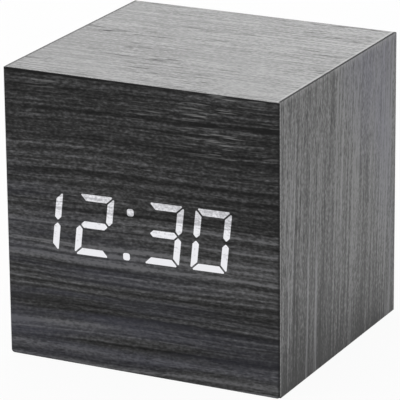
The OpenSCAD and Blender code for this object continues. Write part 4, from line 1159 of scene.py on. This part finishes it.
def prism(build, outline, back, front):
    # flat outline in x and z, from y back to y front
    rings = [[build.verts.new((x * mm, y, z * mm)) for x, z in outline] for y in (back, front)]
    build.faces.new(rings[0])
    build.faces.new(rings[1][::-1])
    for k in range(len(outline)):
        after = (k + 1) % len(outline)
        build.faces.new((rings[0][k], rings[1][k], rings[1][after], rings[0][after]))


def makeMarks(look):
    middle = lambda node: sum(corner.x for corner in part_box(node)) / 2 / mm
    z, size, line, bar = look["height"], look["size"], look["line"], look["bar"]
    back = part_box("back_cover")[1].y - look["sunk"] * mm
    front = back + (look["thick"] + look["sunk"]) * mm
    thick = (front - back) / mm
    build = bmesh.new()
    for node, up in (("up_button", 1), ("down_button", -1)):  # one step up, one step down
        x, foot, tip = middle(node), z - up * size * look["foot"], z + up * size * look["tip"]
        prism(build, [(x - size / 2, foot), (x + size / 2, foot), (x, tip)], back, front)
    outer, inner, jack = size / 2, size / 2 - line, middle("jack_pin")
    for x in (middle("set_button"), jack):  # ring for setting, ring round the jack's pin
        ring = [(0, inner, 0), (0, outer, 0), (thick, outer, 0), (thick, inner, 0), (0, inner, 0)]
        turn(build, ring, (x * mm, back, z * mm), (0, 1, 0), steps=32)
    dot = [(0, 0, 0), (0, look["dot"], 0), (thick, look["dot"], 0), (thick, 0, 0)]
    turn(build, dot, (jack * mm, back, z * mm), (0, 1, 0), steps=20)
    minus, plus = jack + look["apart"], jack - look["apart"]  # on the ring's side and on the pin's side
    for x, wide, high in ((minus, bar, line), (plus, bar, line), (plus, line, bar)):
        corners = [(x + i * wide / 2, z + j * high / 2) for i, j in ((-1, -1), (1, -1), (1, 1), (-1, 1))]
        prism(build, corners, back, front)
    bmesh.ops.recalc_face_normals(build, faces=build.faces)
    addPiece("printed_signs", toMesh(build, "printed_signs", [plastics["ink"]]), "clock_case")


makeMarks(markSet)
print("cells, jack liner and printed signs made")

# mm: rounding; how far the leads stand out, and how far below the top they start
chipSet = {"ease": 0.12, "leads": 0.95, "below": 0.9}


def makeChip(look):
    build = weldedCopy("clock_chip")
    low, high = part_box("clock_chip")
    crown = {v for v in build.verts if v.co.y > high.y - touch}
    easeEdges(build, look["ease"] * mm, 2, lambda e: any(v in crown for v in e.verts))
    for face in build.faces:
        center = face.calc_center_median()
        outside = min(center.z - low.z, high.z - center.z) < look["leads"] * mm
        face.material_index = int(outside and center.y < high.y - look["below"] * mm)
    mesh = toMesh(build, "timer_chip", [plastics["epoxy"], metals["tin"]])
    addPiece("timer_chip", mesh, "clock_case", ["clock_chip"], flats=True)


makeChip(chipSet)

capacitorSet = {
    "sleeve": "#1b2140", "stripe": "#9aa0b4", "faded": "#4a5068",
    "stripeFrom": 1.5, "groove": 1.2, "wrinkle": 0.8,  # mm
    "fading": (0.4, 0.7, 0.25),  # noise where it starts and is full, and how much of it
    "ior": 1.53, "roughness": (0.24, 0.4), "relief": (0.3, 0.02),  # strength and mm
    # mm along from a level, mm in from the side, finish of the strip that follows: 0 sleeve, 1 bare can;
    # the sleeve goes from the rounded foot over the groove to the rim, with the can's end set into it
    "profile": [("foot", 0, "all", 1), ("foot", 0, 0.3, 0), ("foot", 0.2, 0, 0), ("groove", -0.3, 0, 0),
                ("groove", 0, 0.25, 0), ("groove", 0.3, 0, 0), ("top", -0.25, 0, 0), ("top", 0, 0.3, 0),
                ("top", 0, 0.75, 1), ("top", -0.12, 0.85, 1), ("top", -0.12, "all", 1)],
}


def capacitorSleeve(look):
    # dark shrink sleeve with the pale stripe that marks the minus lead
    material, add, shader, place = newMaterial("blue PVC shrink sleeve, printed stripe", IOR=look["ior"])
    low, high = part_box("smoothing_capacitor")
    across = add("ShaderNodeSeparateXYZ", {0: place}).outputs["X"]
    edge = (low.x + high.x) / 2 - look["stripeFrom"] * mm
    stripe = add("ShaderNodeMath", {0: across, 1: edge}, operation="LESS_THAN")
    color = add("ShaderNodeMix",
                {0: stripe, 6: hexColor(look["sleeve"]), 7: hexColor(look["stripe"])}, data_type="RGBA")
    shrunk = {"Vector": place, "Scale": metre / look["wrinkle"], "Detail": 2.0}
    shrunk = add("ShaderNodeTexNoise", shrunk).outputs["Fac"]
    start, full, most = look["fading"]
    faded = add("ShaderNodeMapRange", {0: shrunk, 1: start, 2: full, 4: most})
    color = add("ShaderNodeMix", {0: faded, 6: color.outputs[2], 7: hexColor(look["faded"])},
                data_type="RGBA")
    bright, dull = look["roughness"]
    gloss = add("ShaderNodeMapRange", {0: shrunk, 1: noiseLow, 2: noiseHigh, 3: bright, 4: dull})
    relief, deep = look["relief"]
    skin = add("ShaderNodeBump", {"Strength": relief, "Distance": deep * mm, "Height": shrunk})
    connect(shader, {"Base Color": color.outputs[2], "Roughness": gloss, "Normal": skin})
    return material


def makeCapacitor(look):
    low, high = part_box("smoothing_capacitor")
    start = Vector(((low.x + high.x) / 2, low.y, (low.z + high.z) / 2))
    levels = {"foot": 0, "groove": look["groove"], "top": (high.y - low.y) / mm}
    radius = (high.x - low.x) / 2 / mm
    profile = [(levels[level] + along, 0 if inset == "all" else radius - inset, finish)
               for level, along, inset, finish in look["profile"]]
    build = bmesh.new()
    turn(build, profile, start, (0, 1, 0), steps=40)
    mesh = toMesh(build, "smoothing_can", [capacitorSleeve(look), metals["aluminium"]])
    addPiece("smoothing_can", mesh, "clock_case", ["smoothing_capacitor"])


makeCapacitor(capacitorSet)
print("parts on the boards made")
